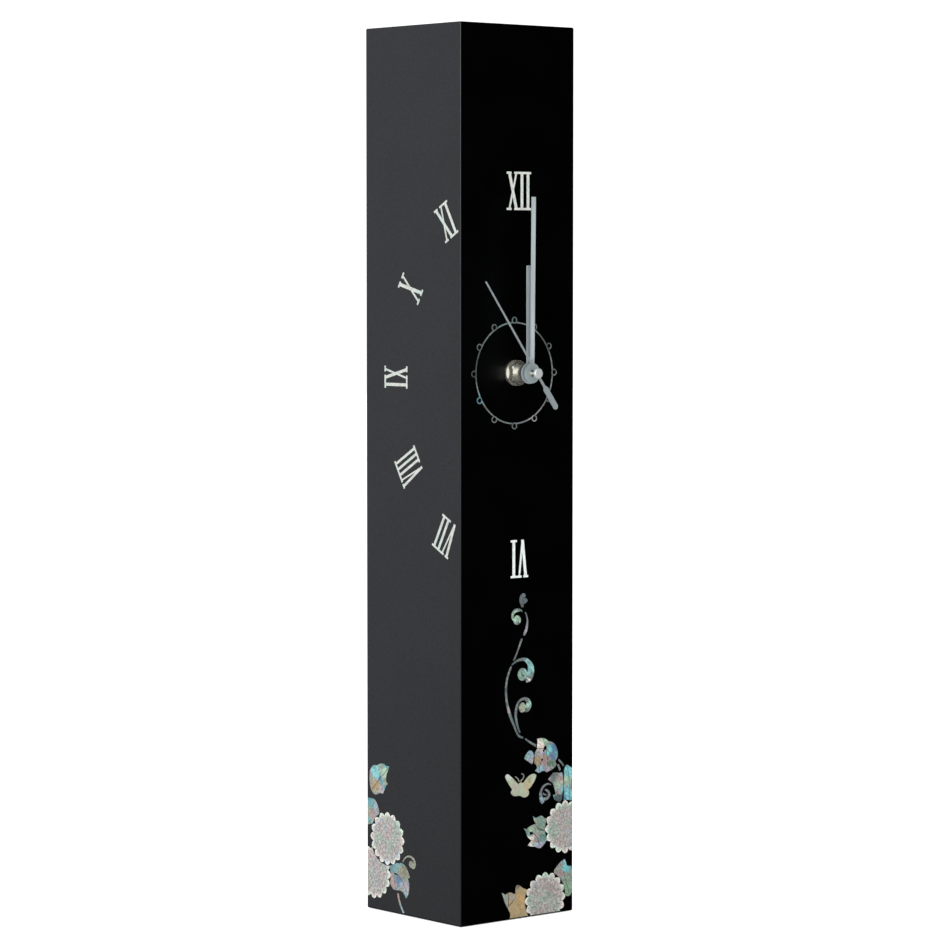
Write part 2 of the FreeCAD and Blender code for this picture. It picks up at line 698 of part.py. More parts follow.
def bowed_leaf(left, reach, half, front, rear):
    """Strip bent to an arc that stands out from the bay's end wall."""

    def at(u, v):
        return V(AXIS_X + left + u, DEPTH_ZERO_Y + front, AXIS_Z + BATTERY_HEIGHT + v)

    outer = Part.Arc(at(0, -half), at(reach, 0), at(0, half)).toShape()
    inside = CONTACT_THICK
    inner = Part.Arc(at(0, inside - half), at(reach - inside, 0), at(0, half - inside)).toShape()
    low_end = Part.makeLine(at(0, -half), at(0, inside - half))
    top_end = Part.makeLine(at(0, half - inside), at(0, half))
    face = Part.Face(Part.Wire([outer, top_end, inner, low_end]))
    return face.extrude(V(0, rear - front, 0))


# ================================================================ hub and hands
def rubber_washer():
    front = from_front(-PANEL)
    return tube(CENTRE, BUSH[1] + WASHER_FIT, RUBBER_R, front, front + RUBBER_THICK)


def brass_washer():
    return tube(CENTRE, BUSH[1] + WASHER_FIT, WASHER_R, from_front(WASHER_THICK), from_front(0))


def hex_nut():
    front, rear = from_front(WASHER_THICK + NUT_THICK), from_front(WASHER_THICK)
    corner_r = NUT_ACROSS_CORNERS / 2
    points = [step(CENTRE, corner_r, corner) for corner in (30, 90, 150, 210, 270, 330)]
    body = plate(points, front, rear)
    round_limit = cylinder(CENTRE, corner_r, front, rear)
    round_limit = round_limit.makeChamfer(NUT_CHAMFER, round_edges(round_limit))
    return body.common(round_limit).cut(cylinder(CENTRE, BUSH[1] + FIT_GAP, front, rear))


def round_edges(solid):
    return [edge for edge in solid.Edges if isinstance(edge.Curve, Part.Circle)]


def hand_blade(length, hub_width, tip_width, proud, thick):
    """Straight blade with a square tip, pointing up from the centre."""
    points = (
        (-hub_width / 2, 0),
        (hub_width / 2, 0),
        (tip_width / 2, length),
        (-tip_width / 2, length),
    )
    return plate(points, from_front(proud), from_front(proud - thick))


def turned(hand, degrees):
    """Hand turned clockwise from straight up, as seen from the front."""
    hand.rotate(V(AXIS_X, 0, AXIS_Z), BACKWARDS, degrees)
    return hand


def hour_hand():
    """Blade and hub disc, with a collar behind that is pressed on the hour tube."""
    front = from_front(HOUR_HAND_PROUD)
    blade = hand_blade(
        HOUR_HAND_LENGTH, HOUR_HAND_WIDTH, HOUR_HAND_WIDTH, HOUR_HAND_PROUD, HAND_THICK
    )
    hub = cylinder(CENTRE, HOUR_HUB_R, front, front + HAND_THICK)
    collar = cylinder(CENTRE, HOUR_COLLAR_R, front, front + HOUR_COLLAR_LENGTH)
    bore = cylinder(CENTRE, HOUR_TUBE[1] + FIT_GAP, front, front + HOUR_COLLAR_LENGTH)
    return blade.fuse([hub, collar]).cut(bore)


def minute_hand():
    """Blade and hub disc, with a collar behind that is pressed on the minute cannon."""
    front = from_front(MINUTE_HAND_PROUD)
    blade = hand_blade(
        MINUTE_HAND_LENGTH, MINUTE_HAND_WIDTH, MINUTE_HAND_WIDTH, MINUTE_HAND_PROUD, HAND_THICK
    )
    hub = cylinder(CENTRE, MINUTE_HUB_R, front, front + HAND_THICK)
    collar = cylinder(CENTRE, MINUTE_COLLAR_R, front, front + MINUTE_COLLAR_LENGTH)
    bore = cylinder(CENTRE, MINUTE_TUBE[1] + FIT_GAP, front, front + MINUTE_COLLAR_LENGTH)
    return turned(blade.fuse([hub, collar]).cut(bore), MINUTE_HAND_TURN)


def second_hand():
    """Needle with a round-ended paddle as counterweight."""
    front = from_front(SECOND_HAND_PROUD)
    rear = front + SECOND_HAND_THICK
    needle = hand_blade(
        SECOND_HAND_LENGTH, NEEDLE_WIDTH, NEEDLE_TIP_WIDTH, SECOND_HAND_PROUD, SECOND_HAND_THICK
    )
    hub = cylinder(CENTRE, SECOND_HUB_R, front, rear)
    neck_half = TAIL_NECK_WIDTH / 2
    paddle_half = PADDLE_WIDTH / 2
    paddle_end = paddle_half - TAIL_LENGTH
    neck = block(-neck_half, neck_half, -TAIL_NECK_LENGTH, 0, front, rear)
    shoulder = (
        (-neck_half, -TAIL_NECK_LENGTH),
        (neck_half, -TAIL_NECK_LENGTH),
        (paddle_half, -TAIL_NECK_LENGTH - paddle_half),
        (paddle_half, paddle_end),
        (-paddle_half, paddle_end),
        (-paddle_half, -TAIL_NECK_LENGTH - paddle_half),
    )
    paddle = plate(shoulder, front, rear)
    round_end = cylinder((0, paddle_end), paddle_half, front, rear)
    hand = needle.fuse([hub, neck, paddle, round_end])
    hand = hand.cut(cylinder(CENTRE, SECOND_SHAFT_R + FIT_GAP, front, rear))
    return turned(hand, SECOND_HAND_TURN)


def second_hand_cap():
    """Round cap riveted to the second hand, pressed on the second shaft."""
    front = from_front(CAP_PROUD)
    rear = from_front(SECOND_HAND_PROUD)
    cap = cylinder(CENTRE, CAP_R, front, rear)
    front_rim = min(round_edges(cap), key=lambda edge: edge.Curve.Center.y)
    cap = cap.makeFillet(CAP_ROUND, [front_rim])
    bore_end = from_front(CAP_PROUD - CAP_FRONT + FIT_GAP)
    return cap.cut(cylinder(CENTRE, SECOND_SHAFT_R + FIT_GAP, bore_end, rear))


# ================================================================ inlay outlines
# Every outline is drawn as (u, z) on the case unrolled into one flat sheet: u runs to the right
# from the middle of the front face, past a corner at each odd multiple of half the width.
def on_sheet(point):
    return V(point[0], FRONT_Y, point[1])


def curve(points):
    """Smooth edge through the points, or a straight one through two."""
    corners = [on_sheet(point) for point in points]
    if len(corners) == 2:
        return Part.makeLine(*corners)
    spline = Part.BSplineCurve()
    spline.interpolate(corners)
    return spline.toShape()


def outline(*stretches):
    """Closed outline. Each stretch is smooth and starts where the one before it ends."""
    corner = stretches[-1][-1]
    edges = []
    for stretch in stretches:
        edges.append(curve([corner] + list(stretch)))
        corner = stretch[-1]
    return Part.Face(Part.Wire(edges))


def ribbon(*points):
    """Curved band through some points (u, z, width)."""
    left, right = [], []
    last = len(points) - 1
    for n, (u, z, width) in enumerate(points):
        before = points[max(n - 1, 0)]
        after = points[min(n + 1, last)]
        along_u, along_z = after[0] - before[0], after[1] - before[1]
        scale = width / 2 / math.hypot(along_u, along_z)
        left.append((u - along_z * scale, z + along_u * scale))
        right.append((u + along_z * scale, z - along_u * scale))
    right.reverse()
    return outline(left[:1], left[1:], right[:1], right[1:])


def disc(at, radius):
    circle = Part.Circle(on_sheet(at), BACKWARDS, radius)
    return Part.Face(Part.Wire(circle.toShape()))


def ring(at, inner, outer):
    return disc(at, outer).cut(disc(at, inner))


def polygon(points):
    corners = [on_sheet(point) for point in points]
    return Part.Face(Part.makePolygon(corners + corners[:1]))


def flower(at):
    """Round flower whose petals each end in an arc."""
    edges = []
    for petal in range(FLOWER_PETALS):
        ends = []
        for shift, radius in ((-0.5, FLOWER_R - PETAL_DIP), (0, FLOWER_R), (0.5, FLOWER_R - PETAL_DIP)):
            ends.append(on_sheet(step(at, radius, 360 * (petal + shift) / FLOWER_PETALS)))
        edges.append(Part.Arc(*ends).toShape())
    return Part.Face(Part.Wire(edges))


def behind_flowers(faces):
    """Outlines with the places of the flowers left free."""
    for at in (MIDDLE_FLOWER, FOOT_FLOWER, LEFT_FLOWER, LEFT_FOOT_FLOWER):
        faces = [face.cut(disc(at, FLOWER_R + INLAY_GAP)) for face in faces]
    return faces


def joined(faces):
    return faces[0].fuse(faces[1:]).removeSplitter()


def on_side(faces, turns):
    """The part of some outlines that falls on one side, as thin solids standing on that side.

    turns counts the corners from the front face: 1 is the right side, -1 the left, -2 the back.
    """
    low, high = FELT_PROUD + EDGE_ROUND, CASE_HEIGHT - EDGE_ROUND
    middle = turns * CASE_WIDTH
    reach = HALF - EDGE_ROUND
    window = polygon(
        [
            (middle - reach, low),
            (middle + reach, low),
            (middle + reach, high),
            (middle - reach, high),
        ]
    )
    solids = []
    for face in faces:
        piece = face.common(window)
        piece.translate(V(-middle, 0, 0))
        piece.rotate(V(0, 0, 0), UPRIGHT, 90 * turns)
        outwards = FreeCAD.Rotation(UPRIGHT, 90 * turns).multVec(V(0, -INLAY_PROUD, 0))
        solids += [part.extrude(outwards) for part in piece.Faces]
    return Part.Compound(solids)


# ================================================================ numerals
def stroke(low_u, top_u, width):
    """Stroke of a letter from its foot to its head, as wide as stated along the line."""
    half = width / 2
    return [
        (low_u - half, 0),
        (low_u + half, 0),
        (top_u + half, LETTER_HEIGHT),
        (top_u - half, LETTER_HEIGHT),
    ]


def serif(left, right, low):
    return [(left, low), (right, low), (right, low + SERIF), (left, low + SERIF)]


def letter_strokes(letter, left):
    """Outlines of one capital letter, standing on z = 0 with its left side at u = left."""
    width = LETTER_WIDTH[letter]
    right = left + width
    middle = left + width / 2
    inset = SERIF_LENGTH / 2
    head = LETTER_HEIGHT - SERIF
    if letter == "I":
        return [stroke(middle, middle, THICK_STROKE), serif(left, right, 0), serif(left, right, head)]
    heads = [serif(left, left + SERIF_LENGTH, head), serif(right - SERIF_LENGTH, right, head)]
    if letter == "V":
        thick = stroke(middle, left + inset, THICK_STROKE)
        thin = stroke(middle, right - inset, THIN_STROKE)
        return [thick, thin] + heads
    thick = stroke(right - inset, left + inset, THICK_STROKE)
    thin = stroke(left + inset, right - inset, THIN_STROKE)
    feet = [serif(left, left + SERIF_LENGTH, 0), serif(right - SERIF_LENGTH, right, 0)]
    return [thick, thin] + heads + feet


def numeral(text, width, height, at, turn):
    """Roman numeral centred on a point, its head turned from straight up by an angle."""
    natural = sum(LETTER_WIDTH[letter] for letter in text)
    cos, sin = math.cos(math.radians(turn)), math.sin(math.radians(turn))
    pieces = []
    left = 0.0
    for letter in text:
        for points in letter_strokes(letter, left):
            placed = []
            for u, z in points:
                across = (u / natural - 0.5) * width
                up = (z / LETTER_HEIGHT - 0.5) * height
                placed.append((at[0] + across * cos - up * sin, at[1] + across * sin + up * cos))
            pieces.append(polygon(placed))
        left += LETTER_WIDTH[letter]
    return joined(pieces)


# Where the numerals of a side face stand: distance from the front corner, height above the
# ground, and turn of the head away from straight up. The two sides mirror each other.
SIDE_PLACES = (
    (11.0, 351.7, 30),
    (38.9, 318.4, 60),
    (50.6, 273.7, 90),
    (40.2, 228.7, 120),
    (11.8, 195.2, 152),
)
LEFT_NUMERALS = (("XI", 11.5), ("X", 8.6), ("IX", 11.2), ("VIII", 15.5), ("VII", 14.0))
RIGHT_NUMERALS = (("I", 5.0), ("II", 8.0), ("III", 12.0), ("IV", 11.5), ("V", 8.5))


def numerals_front():
    twelve = numeral("XII", 16.0, FRONT_NUMERAL_HEIGHT, (0.5, 367.2), 0)
    six = numeral("VI", 11.5, FRONT_NUMERAL_HEIGHT, (1.0, 182.8), 180)
    return on_side([twelve, six], 0)


def side_numerals(texts, side):
    faces = []
    for (text, width), (from_corner, z, turn) in zip(texts, SIDE_PLACES):
        at = (side * (HALF + from_corner), z)
        faces.append(numeral(text, width, SIDE_NUMERAL_HEIGHT, at, -side * turn))
    return on_side(faces, side)


# ================================================================ dial ring and plants
def minute_ring():
    """Twelve arcs around the hub, with a small loop at each hour."""
    line = ring(RING_AT, RING_R - RING_LINE / 2, RING_R + RING_LINE / 2)
    loops = []
    for hour in range(HOURS):
        at = step(RING_AT, LOOP_AT_R, 360 * hour / HOURS)
        line = line.cut(disc(at, LOOP_R + INLAY_GAP))
        loops.append(ring(at, LOOP_R - LOOP_LINE, LOOP_R))
    return on_side([line] + loops, 0)


def upper_vine():
    """The bud at the top, the curl below it and the stem down to the big curl."""
    bud = outline(
        [(1.4, 160.3), (1.1, 162.6), (2.3, 164.7), (4.2, 165.2)],
        [(5.1, 164.2), (4.4, 163)],
        [(5.4, 162.7), (6.4, 161.6)],
        [(5.4, 160.3), (3.9, 159.8)],
        [(3.6, 158.2)],
        [(2.6, 158.2)],
    )
    comma = ribbon(
        (2.8, 156.2, 0.8),
        (0.8, 156.9, 1.5),
        (-1.4, 156.8, 1.8),
        (-3.2, 155.5, 1.5),
        (-3.6, 153.6, 1.2),
        (-2.6, 151.8, 1.0),
    )
    comma_ball = disc((-0.5, 151.9), 2.4)
    stem = ribbon(
        (4.8, 155.6, 0.6),
        (5.8, 153.8, 0.7),
        (6.3, 151.3, 0.9),
        (6.1, 148.6, 1.3),
        (5.2, 146, 1.6),
        (3.9, 143.9, 0.9),
    )
    neck = ribbon((2.7, 142.3, 1.2), (1.6, 140, 1.1), (0.2, 137, 0.9), (-2.9, 131.6, 0.8))
    return [bud, joined([comma, comma_ball]), stem, neck]


def lower_vine():
    """The two curls with the stem between them, down to the leaves."""
    big_curl = ribbon(
        (-4.0, 129.6, 0.8),
        (-0.8, 131.2, 1.1),
        (2.6, 131.9, 1.4),
        (6.2, 130.9, 2.2),
        (8.4, 128.2, 3.5),
        (8.6, 124.8, 4.3),
        (7.2, 121.8, 3.6),
        (5.2, 121.0, 2.2),
    )
    big_ball = disc((3.1, 124.2), 3.2).cut(ribbon((2.3, 125.5, 0.3), (2.9, 123.9, 0.5), (4.6, 123.3, 0.3)))
    stem = ribbon(
        (-4.4, 128.7, 1.0),
        (-6.2, 125.2, 1.1),
        (-7.6, 120.6, 1.2),
        (-7.9, 116, 1.3),
        (-7.3, 110.8, 1.3),
        (-6, 106.4, 1.6),
        (-3.9, 101.4, 1.4),
        (-1.6, 97, 1.2),
        (0, 94, 1.2),
        (3.4, 92.1, 1.1),
    )
    low_curl = ribbon(
        (1.4, 94.9, 0.9),
        (-0.4, 99, 1.2),
        (-1.4, 103.5, 1.5),
        (-1, 107.5, 1.3),
        (0.8, 110.6, 1.2),
        (3.6, 111.8, 1.4),
        (6.3, 110.9, 2.3),
        (7.3, 108.6, 3.2),
        (6.6, 106.6, 2.8),
        (4.8, 105.8, 1.8),
    )
    low_ball = disc((3.1, 107.5), 2.5)
    leaf_stem = ribbon((5, 91.4, 0.9), (8.8, 89, 1.1), (12.1, 87.3, 1.3))
    return [joined([big_curl, big_ball]), stem, joined([low_curl, low_ball]), leaf_stem]


def runner():
    """The curl and the two shoots between the upper leaves."""
    outside = ribbon(
        (22.2, 66.5, 0.6),
        (20, 67.1, 0.9),
        (17.8, 66.4, 1.1),
        (16.1, 64.7, 1.3),
        (15.4, 62.4, 1.6),
        (15.8, 59.9, 2.3),
        (17, 57.6, 1.9),
    )
    inside = ribbon(
        (18.3, 64.2, 0.8),
        (20.3, 63.3, 1.3),
        (21.1, 61.6, 1.6),
        (20.1, 60.1, 1.5),
        (18, 59.5, 1.6),
        (16.2, 59.7, 1.2),
    )
    heart = ribbon((16.9, 62.7, 0.6), (18, 61.9, 0.9), (19.2, 61.6, 0.6))
    upper_shoot = ribbon((27.4, 78.9, 0.9), (29.3, 77.2, 1.0), (30.9, 75.4, 1.0))
    lower_shoot = ribbon((26.9, 76.4, 1.0), (27.8, 74.9, 1.1), (28.5, 73.3, 1.0))
    return [joined([outside, inside]), heart, upper_shoot, lower_shoot]


def vine_front():
    return on_side(upper_vine() + lower_vine() + runner(), 0)


def upper_leaf():
    """Big leaf of four shells, with two small holes."""
    leaf = outline(
        [(16, 90.9), (18.6, 90.2), (20.6, 88.7)],
        [(22.6, 88.4), (24.8, 87), (26.3, 84.6), (26.8, 81.8), (26.3, 79.6)],
        [(25.2, 78.3)],
        [(26, 76.6)],
        [(23.4, 74.3), (21, 73.7)],
        [(19.3, 73.1)],
        [(17.6, 74), (15.9, 73.9)],
        [(14.2, 73.2)],
        [(11.4, 74.6)],
        [(12.9, 76.2), (12.4, 77.4)],
        [(10.9, 78.6)],
        [(11.3, 81), (11.4, 83), (12.3, 84.8)],
        [(13.2, 85.7)],
        [(12.9, 87), (13.4, 88.8)],
        [(13, 90.7)],
    )
    hole = disc((18.4, 85.6), 1.1).fuse(disc((17.4, 84.3), 0.7))
    seams = [
        ribbon((12.2, 86.4, 0.25), (15.2, 85.5, 0.3), (18, 85.6, 0.3)),
        ribbon((17.4, 84.3, 0.3), (17.3, 81.4, 0.3), (16.2, 79.4, 0.3), (15, 72.8, 0.3)),
        ribbon((18.6, 85, 0.3), (19.7, 81.5, 0.3), (20, 78, 0.3), (18.9, 72.8, 0.3)),
    ]
    return leaf.cut([hole, disc((16.3, 79.8), 0.7)] + seams)


def middle_leaf():
    leaf = outline(
        [(10.9, 49.3), (12.2, 47.6)],
        [(10, 47.1), (7.8, 46.4), (5.9, 45.4)],
        [(3.9, 45.9)],
        [(5.3, 44), (6.3, 41.9), (7.6, 40.4)],
        [(9.3, 39.2)],
        [(8.2, 38.2)],
        [(6.6, 36.9)],
        [(9, 36.2), (11.6, 35.9)],
        [(13.4, 35), (14.8, 34.7)],
        [(16.6, 35.6), (18.4, 37.2), (20, 38.6)],
        [(21, 44), (19, 49.8)],
        [(17.9, 49.6)],
        [(16.8, 50.8), (15.2, 51.3)],
        [(13.4, 50.7), (11.8, 50.4)],
        [(10.2, 51.6)],
    )
    hole = disc((8.7, 43), 0.85).fuse(disc((9.6, 42.9), 0.7))
    seams = [
        ribbon((9.6, 42.9, 0.3), (12.4, 41, 0.3), (14, 38, 0.3), (14.6, 34, 0.3)),
        ribbon((11.6, 47.8, 0.3), (13.6, 45.2, 0.3), (16.6, 43.8, 0.4), (19, 43.8, 0.5)),
    ]
    return leaf.cut([hole] + seams)


def bud_leaf():
    return outline(
        [(5.2, 83), (6.6, 84.4), (8.2, 85.3)],
        [(9.6, 84.6), (10.6, 82.6)],
        [(10.3, 80), (9.6, 78)],
        [(7.6, 79.3), (5.8, 80.4), (4.4, 81.1)],
    )


def edge_leaf():
    """Leaf that goes round the front right corner."""
    leaf = outline(
        [(32.3, 75.1), (33.4, 75.9)],
        [(35.2, 74.6), (37, 73.6), (39.6, 69.6)],
        [(38.6, 66.8)],
        [(40.4, 63), (40, 60), (38.4, 57.4)],
        [(34, 57)],
        [(30.9, 57.6)],
        [(31.2, 61), (30.9, 66), (31.3, 70.6), (31.3, 73.2)],
    )
    return leaf.cut(ribbon((33.2, 76.4, 0.3), (34.4, 70, 0.3), (35, 64, 0.3), (34.4, 56, 0.3)))


def side_leaf():
    return outline(
        [(22.2, 71), (23.6, 72.3)],
        [(26, 72.4), (28, 72)],
        [(29.8, 72.2)],
        [(30.5, 68.6), (30.3, 63), (29.8, 58.2)],
        [(28.4, 57.2)],
        [(26.6, 57.6), (24.7, 58.6)],
        [(23.8, 60.9)],
        [(25.5, 61.4)],
        [(24.7, 64.6), (23.1, 67.5)],
        [(20.4, 69.4)],
    )


def corner_leaf():
    """Lowest leaf, which goes round the front right corner."""
    leaf = outline(
        [(26.6, 24.4), (28.8, 26.1), (31.6, 27.4)],
        [(32.6, 25.6), (33.1, 23.8)],
        [(35, 23.6), (37.4, 22.9)],
        [(39.6, 20)],
        [(38.4, 16), (38.4, 12), (36.2, 9.4)],
        [(34.8, 8.1), (33.2, 8.2)],
        [(31, 9.8)],
        [(28, 15), (24.6, 20)],
        [(24.6, 22.4)],
    )
    return leaf.cut(ribbon((30.6, 27.4, 0.3), (31, 21, 0.3), (33, 15, 0.3), (35, 7.4, 0.3)))


def gold_leaf():
    """Leaf of three shells, which the lowest flower partly covers."""
    leaf = outline(
        [(-9.6, 14.2), (-8.4, 13.4)],
        [(-6.8, 14), (-5, 14.3), (-3.4, 13.6)],
        [(-2.4, 13.2)],
        [(-1.4, 13.4)],
        [(-1.4, 15.8), (-0.6, 17.6)],
        [(1.2, 17.2), (2.8, 16), (4.4, 15.2), (6, 14.6)],
        [(8, 8), (7, 0.8)],
        [(-5.6, 0.8)],
        [(-4.9, 3), (-6, 5.3), (-7.7, 8), (-9.2, 11.2)],
        [(-10.6, 14.8)],
    )
    left_seam = ribbon((-6.6, 14.8, 0.3), (-6.1, 11, 0.4), (-6.4, 7.6, 0.4), (-7.6, 4.4, 0.3))
    right_seam = ribbon((-1.6, 14.2, 0.3), (-2, 11, 0.3), (-3.9, 9.1, 0.4), (-6.6, 7.2, 0.3))
    return leaf.cut([left_seam, right_seam])


def butterfly():
    shape = outline(
        [(-7.9, 74.1), (-6.8, 74.5), (-5.4, 73.7), (-3.2, 72), (-1.2, 70.2), (0.3, 68.6)],
        [(1.3, 69.4), (2.4, 69.5), (3.4, 68.9)],
        [(4.6, 70), (6.4, 71.6), (8.6, 72.8), (11.2, 73), (12.4, 72.2)],
        [(11.6, 70.2), (10, 68), (8.2, 66.3), (6.7, 65.4)],
        [(7.4, 64.2), (7.2, 62.8), (5.9, 61.9), (4.2, 61.7), (2.4, 62.4)],
        [(0.2, 62.9), (-2.4, 63), (-4, 64), (-4.7, 65.2)],
        [(-3.7, 66.4)],
        [(-5.2, 68.2), (-6.9, 70.6), (-8.4, 73)],
    )
    antennae = [
        ribbon((0.9, 70, 0.5), (0.1, 71.4, 0.6), (-1.9, 72.8, 0.5)),
        ribbon((1.9, 70, 0.5), (3, 71, 0.6), (4, 72.3, 0.7), (3.6, 73.4, 0.6), (2.4, 73.8, 0.5)),
    ]
    return on_side([shape] + antennae, 0)


def broad_leaf():
    leaf = outline(
        [(-109.6, 71.4), (-108.4, 73.4), (-106, 74.7)],
        [(-103.8, 74.7)],
        [(-102, 75.6), (-99, 76.1), (-96.6, 75.3)],
        [(-93.7, 75.1)],
        [(-95.2, 72.6), (-96.6, 69), (-96.5, 67.2)],
        [(-94.9, 66.1)],
        [(-96.9, 64.4), (-98.2, 62), (-99.4, 60.6)],
        [(-101.5, 60.7), (-104, 59.8), (-106.6, 59.9)],
        [(-108.6, 61.4)],
        [(-109.7, 65), (-110, 68.6)],
    )
    return leaf.cut(ribbon((-109.4, 60, 0.3), (-104, 66, 0.3), (-99, 70.4, 0.3), (-93, 75.6, 0.3)))


def rear_corner_leaf():
    """Leaf that goes round the left rear corner."""
    return outline(
        [(-108.6, 57.4)],
        [(-106.4, 57.2)],
        [(-104.4, 55.6), (-102.6, 52.4), (-102.1, 49.2)],
        [(-102.8, 47)],
        [(-106, 44)],
        [(-108.6, 44.2), (-112.6, 42.6)],
        [(-115, 46)],
        [(-114.4, 50), (-114.6, 54), (-112.6, 57.2)],
    )


def low_leaf():
    leaf = outline(
        [(-91.4, 25.4), (-88.6, 26.6)],
        [(-86.2, 26.3)],
        [(-83.8, 26.8), (-81, 25.6), (-79.2, 23.6)],
        [(-77.4, 20.4)],
        [(-79, 19.4)],
        [(-78, 16.6), (-78.2, 13), (-80.4, 9.2)],
        [(-82.4, 11.6), (-85.6, 12.7)],
        [(-88.4, 12.4), (-91, 12.7)],
        [(-93.4, 15.6), (-95, 19), (-94.6, 23)],
    )
    hole = ribbon((-90.2, 20.6, 0.5), (-88.6, 20.7, 0.9), (-87, 20.2, 0.5))
    seams = [
        ribbon((-87.2, 20.2, 0.3), (-84.6, 18.6, 0.3), (-81.4, 14.6, 0.3), (-80.2, 8.6, 0.3)),
        ribbon((-89.6, 20.4, 0.3), (-89.8, 16.4, 0.3), (-88.4, 11.6, 0.3)),
    ]
    return leaf.cut([hole] + seams)


def tendrils_left():
    curl = ribbon(
        (-83, 27.5, 0.7),
        (-81.2, 29.7, 0.8),
        (-78.2, 31, 0.9),
        (-75.2, 30.4, 1.2),
        (-73.6, 28.4, 1.5),
        (-73.9, 26.3, 1.6),
        (-75.6, 25.6, 1.4),
    )
    ball = disc((-76.3, 27.1), 1.8)
    stem = ribbon((-87, 11, 1.1), (-86.4, 8.6, 1.2), (-84.8, 5, 1.2), (-82.3, 1.5, 1.2))
    return on_side([joined([curl, ball]), stem], -1)


def leaves_front():
    faces = [upper_leaf(), middle_leaf(), bud_leaf(), edge_leaf(), side_leaf(), corner_leaf()]
    return on_side(behind_flowers(faces), 0)


def flowers_on_left():
    """The upper flower covers the edge of the lower one, which goes on round the rear corner."""
    lower = flower(LEFT_FOOT_FLOWER).cut(disc(LEFT_FLOWER, FLOWER_R + INLAY_GAP))
    return [flower(LEFT_FLOWER), lower]


# ================================================================ all the pieces
def pieces():
    """Every piece by name."""
    return {
        "front_panel": front_panel(),
        "back_panel": back_panel(),
        "left_panel": mitred_panel(0, 0),
        "right_panel": mitred_panel(0, 1),
        "top_panel": mitred_panel(2, 1),
        "bottom_panel": bottom_panel(),
        "base_felt": base_felt(),
        "rear_door": rear_door(),
        "door_magnets": door_magnets(),
        "case_magnets": case_magnets(),
        "door_stops": door_stops(),
        "movement_tray": movement_tray(),
        "movement_cover": movement_cover(),
        "middle_plate": middle_plate(),
        "threaded_bush": threaded_bush(),
        "rubber_washer": rubber_washer(),
        "brass_washer": brass_washer(),
        "hex_nut": hex_nut(),
        "battery_can": battery_can(),
        "battery_sleeve": battery_sleeve(),
        "contact_positive": contact_positive(),
        "contact_negative": contact_negative(),
        "circuit_board": circuit_board(),
        "driver_chip": driver_chip(),
        "quartz_crystal": quartz_crystal(),
        "coil_bobbin": coil_bobbin(),
        "coil_winding": coil_winding(),
        "coil_core": coil_core(),
        "stator_plate": stator_plate(),
        "rotor_magnet": rotor_magnet(),
        "rotor_pinion": rotor_pinion(),
        "intermediate_wheel": intermediate_wheel(),
        "second_wheel": second_wheel(),
        "third_wheel": third_wheel(),
        "centre_wheel": centre_wheel(),
        "minute_cannon": minute_cannon(),
        "minute_wheel": minute_wheel(),
        "hour_wheel": hour_wheel(),
        "setting_gear": setting_gear(),
        "setting_knob": setting_knob(),
        "hour_hand": hour_hand(),
        "minute_hand": minute_hand(),
        "second_hand": second_hand(),
        "second_hand_cap": second_hand_cap(),
        "numerals_front": numerals_front(),
        "numerals_left": side_numerals(LEFT_NUMERALS, -1),
        "numerals_right": side_numerals(RIGHT_NUMERALS, 1),
        "minute_ring": minute_ring(),
        "vine_front": vine_front(),
        "leaves_front": leaves_front(),
        "gold_leaf": on_side(behind_flowers([gold_leaf()]), 0),
        "leaves_left": on_side(behind_flowers([broad_leaf(), rear_corner_leaf(), low_leaf()]), -1),
        "butterfly": butterfly(),
        "tendrils_left": tendrils_left(),
        "flowers_front": on_side([flower(MIDDLE_FLOWER), flower(FOOT_FLOWER)], 0),
        "flowers_right": on_side([flower(MIDDLE_FLOWER)], 1),
        "flowers_left": on_side(flowers_on_left(), -1),
        "flowers_back": on_side(flowers_on_left(), -2),
    }


def main():
    os.makedirs("parts", exist_ok=True)
    for name, shape in pieces().items():
        shape.exportStep(f"parts/{name}.step")


main()
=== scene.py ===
"""Looks of the column clock: black lacquer, shell inlay, satin hands and a pale studio."""

import json
import math

import bmesh
import bpy
from mathutils import Matrix, Vector

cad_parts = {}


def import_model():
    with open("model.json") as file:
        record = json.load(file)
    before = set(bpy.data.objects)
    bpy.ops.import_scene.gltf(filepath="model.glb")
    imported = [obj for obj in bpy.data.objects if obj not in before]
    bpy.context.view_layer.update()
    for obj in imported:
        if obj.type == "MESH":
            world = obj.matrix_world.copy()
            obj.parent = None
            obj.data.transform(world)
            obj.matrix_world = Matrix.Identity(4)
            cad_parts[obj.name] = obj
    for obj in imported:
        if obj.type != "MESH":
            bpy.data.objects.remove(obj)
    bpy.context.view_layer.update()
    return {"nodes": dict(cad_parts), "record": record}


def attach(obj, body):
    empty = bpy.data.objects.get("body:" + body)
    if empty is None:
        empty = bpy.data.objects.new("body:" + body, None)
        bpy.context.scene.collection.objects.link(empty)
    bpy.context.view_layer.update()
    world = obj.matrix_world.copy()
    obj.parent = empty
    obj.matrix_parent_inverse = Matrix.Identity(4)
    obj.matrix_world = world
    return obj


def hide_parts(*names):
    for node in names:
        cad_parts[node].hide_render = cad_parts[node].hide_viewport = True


# ---------------------------------------------------------------- camera, in metres and degrees
CAMERA_AZIMUTH = -40.19
CAMERA_DISTANCE = 1.8436
CAMERA_HEIGHT = 0.32864
CAMERA_PITCH = 3.268
CAMERA_YAW = -0.085
LENS_MM = 137.24
SENSOR_MM = 36.0

# ---------------------------------------------------------------- case and hub, in metres
HALF_WIDTH = 0.0375
EDGE_ROUND = 0.0008
HUB_X = -0.002
HUB_Z = 0.2764
MINUTE_HAND_OUT = 0.0134

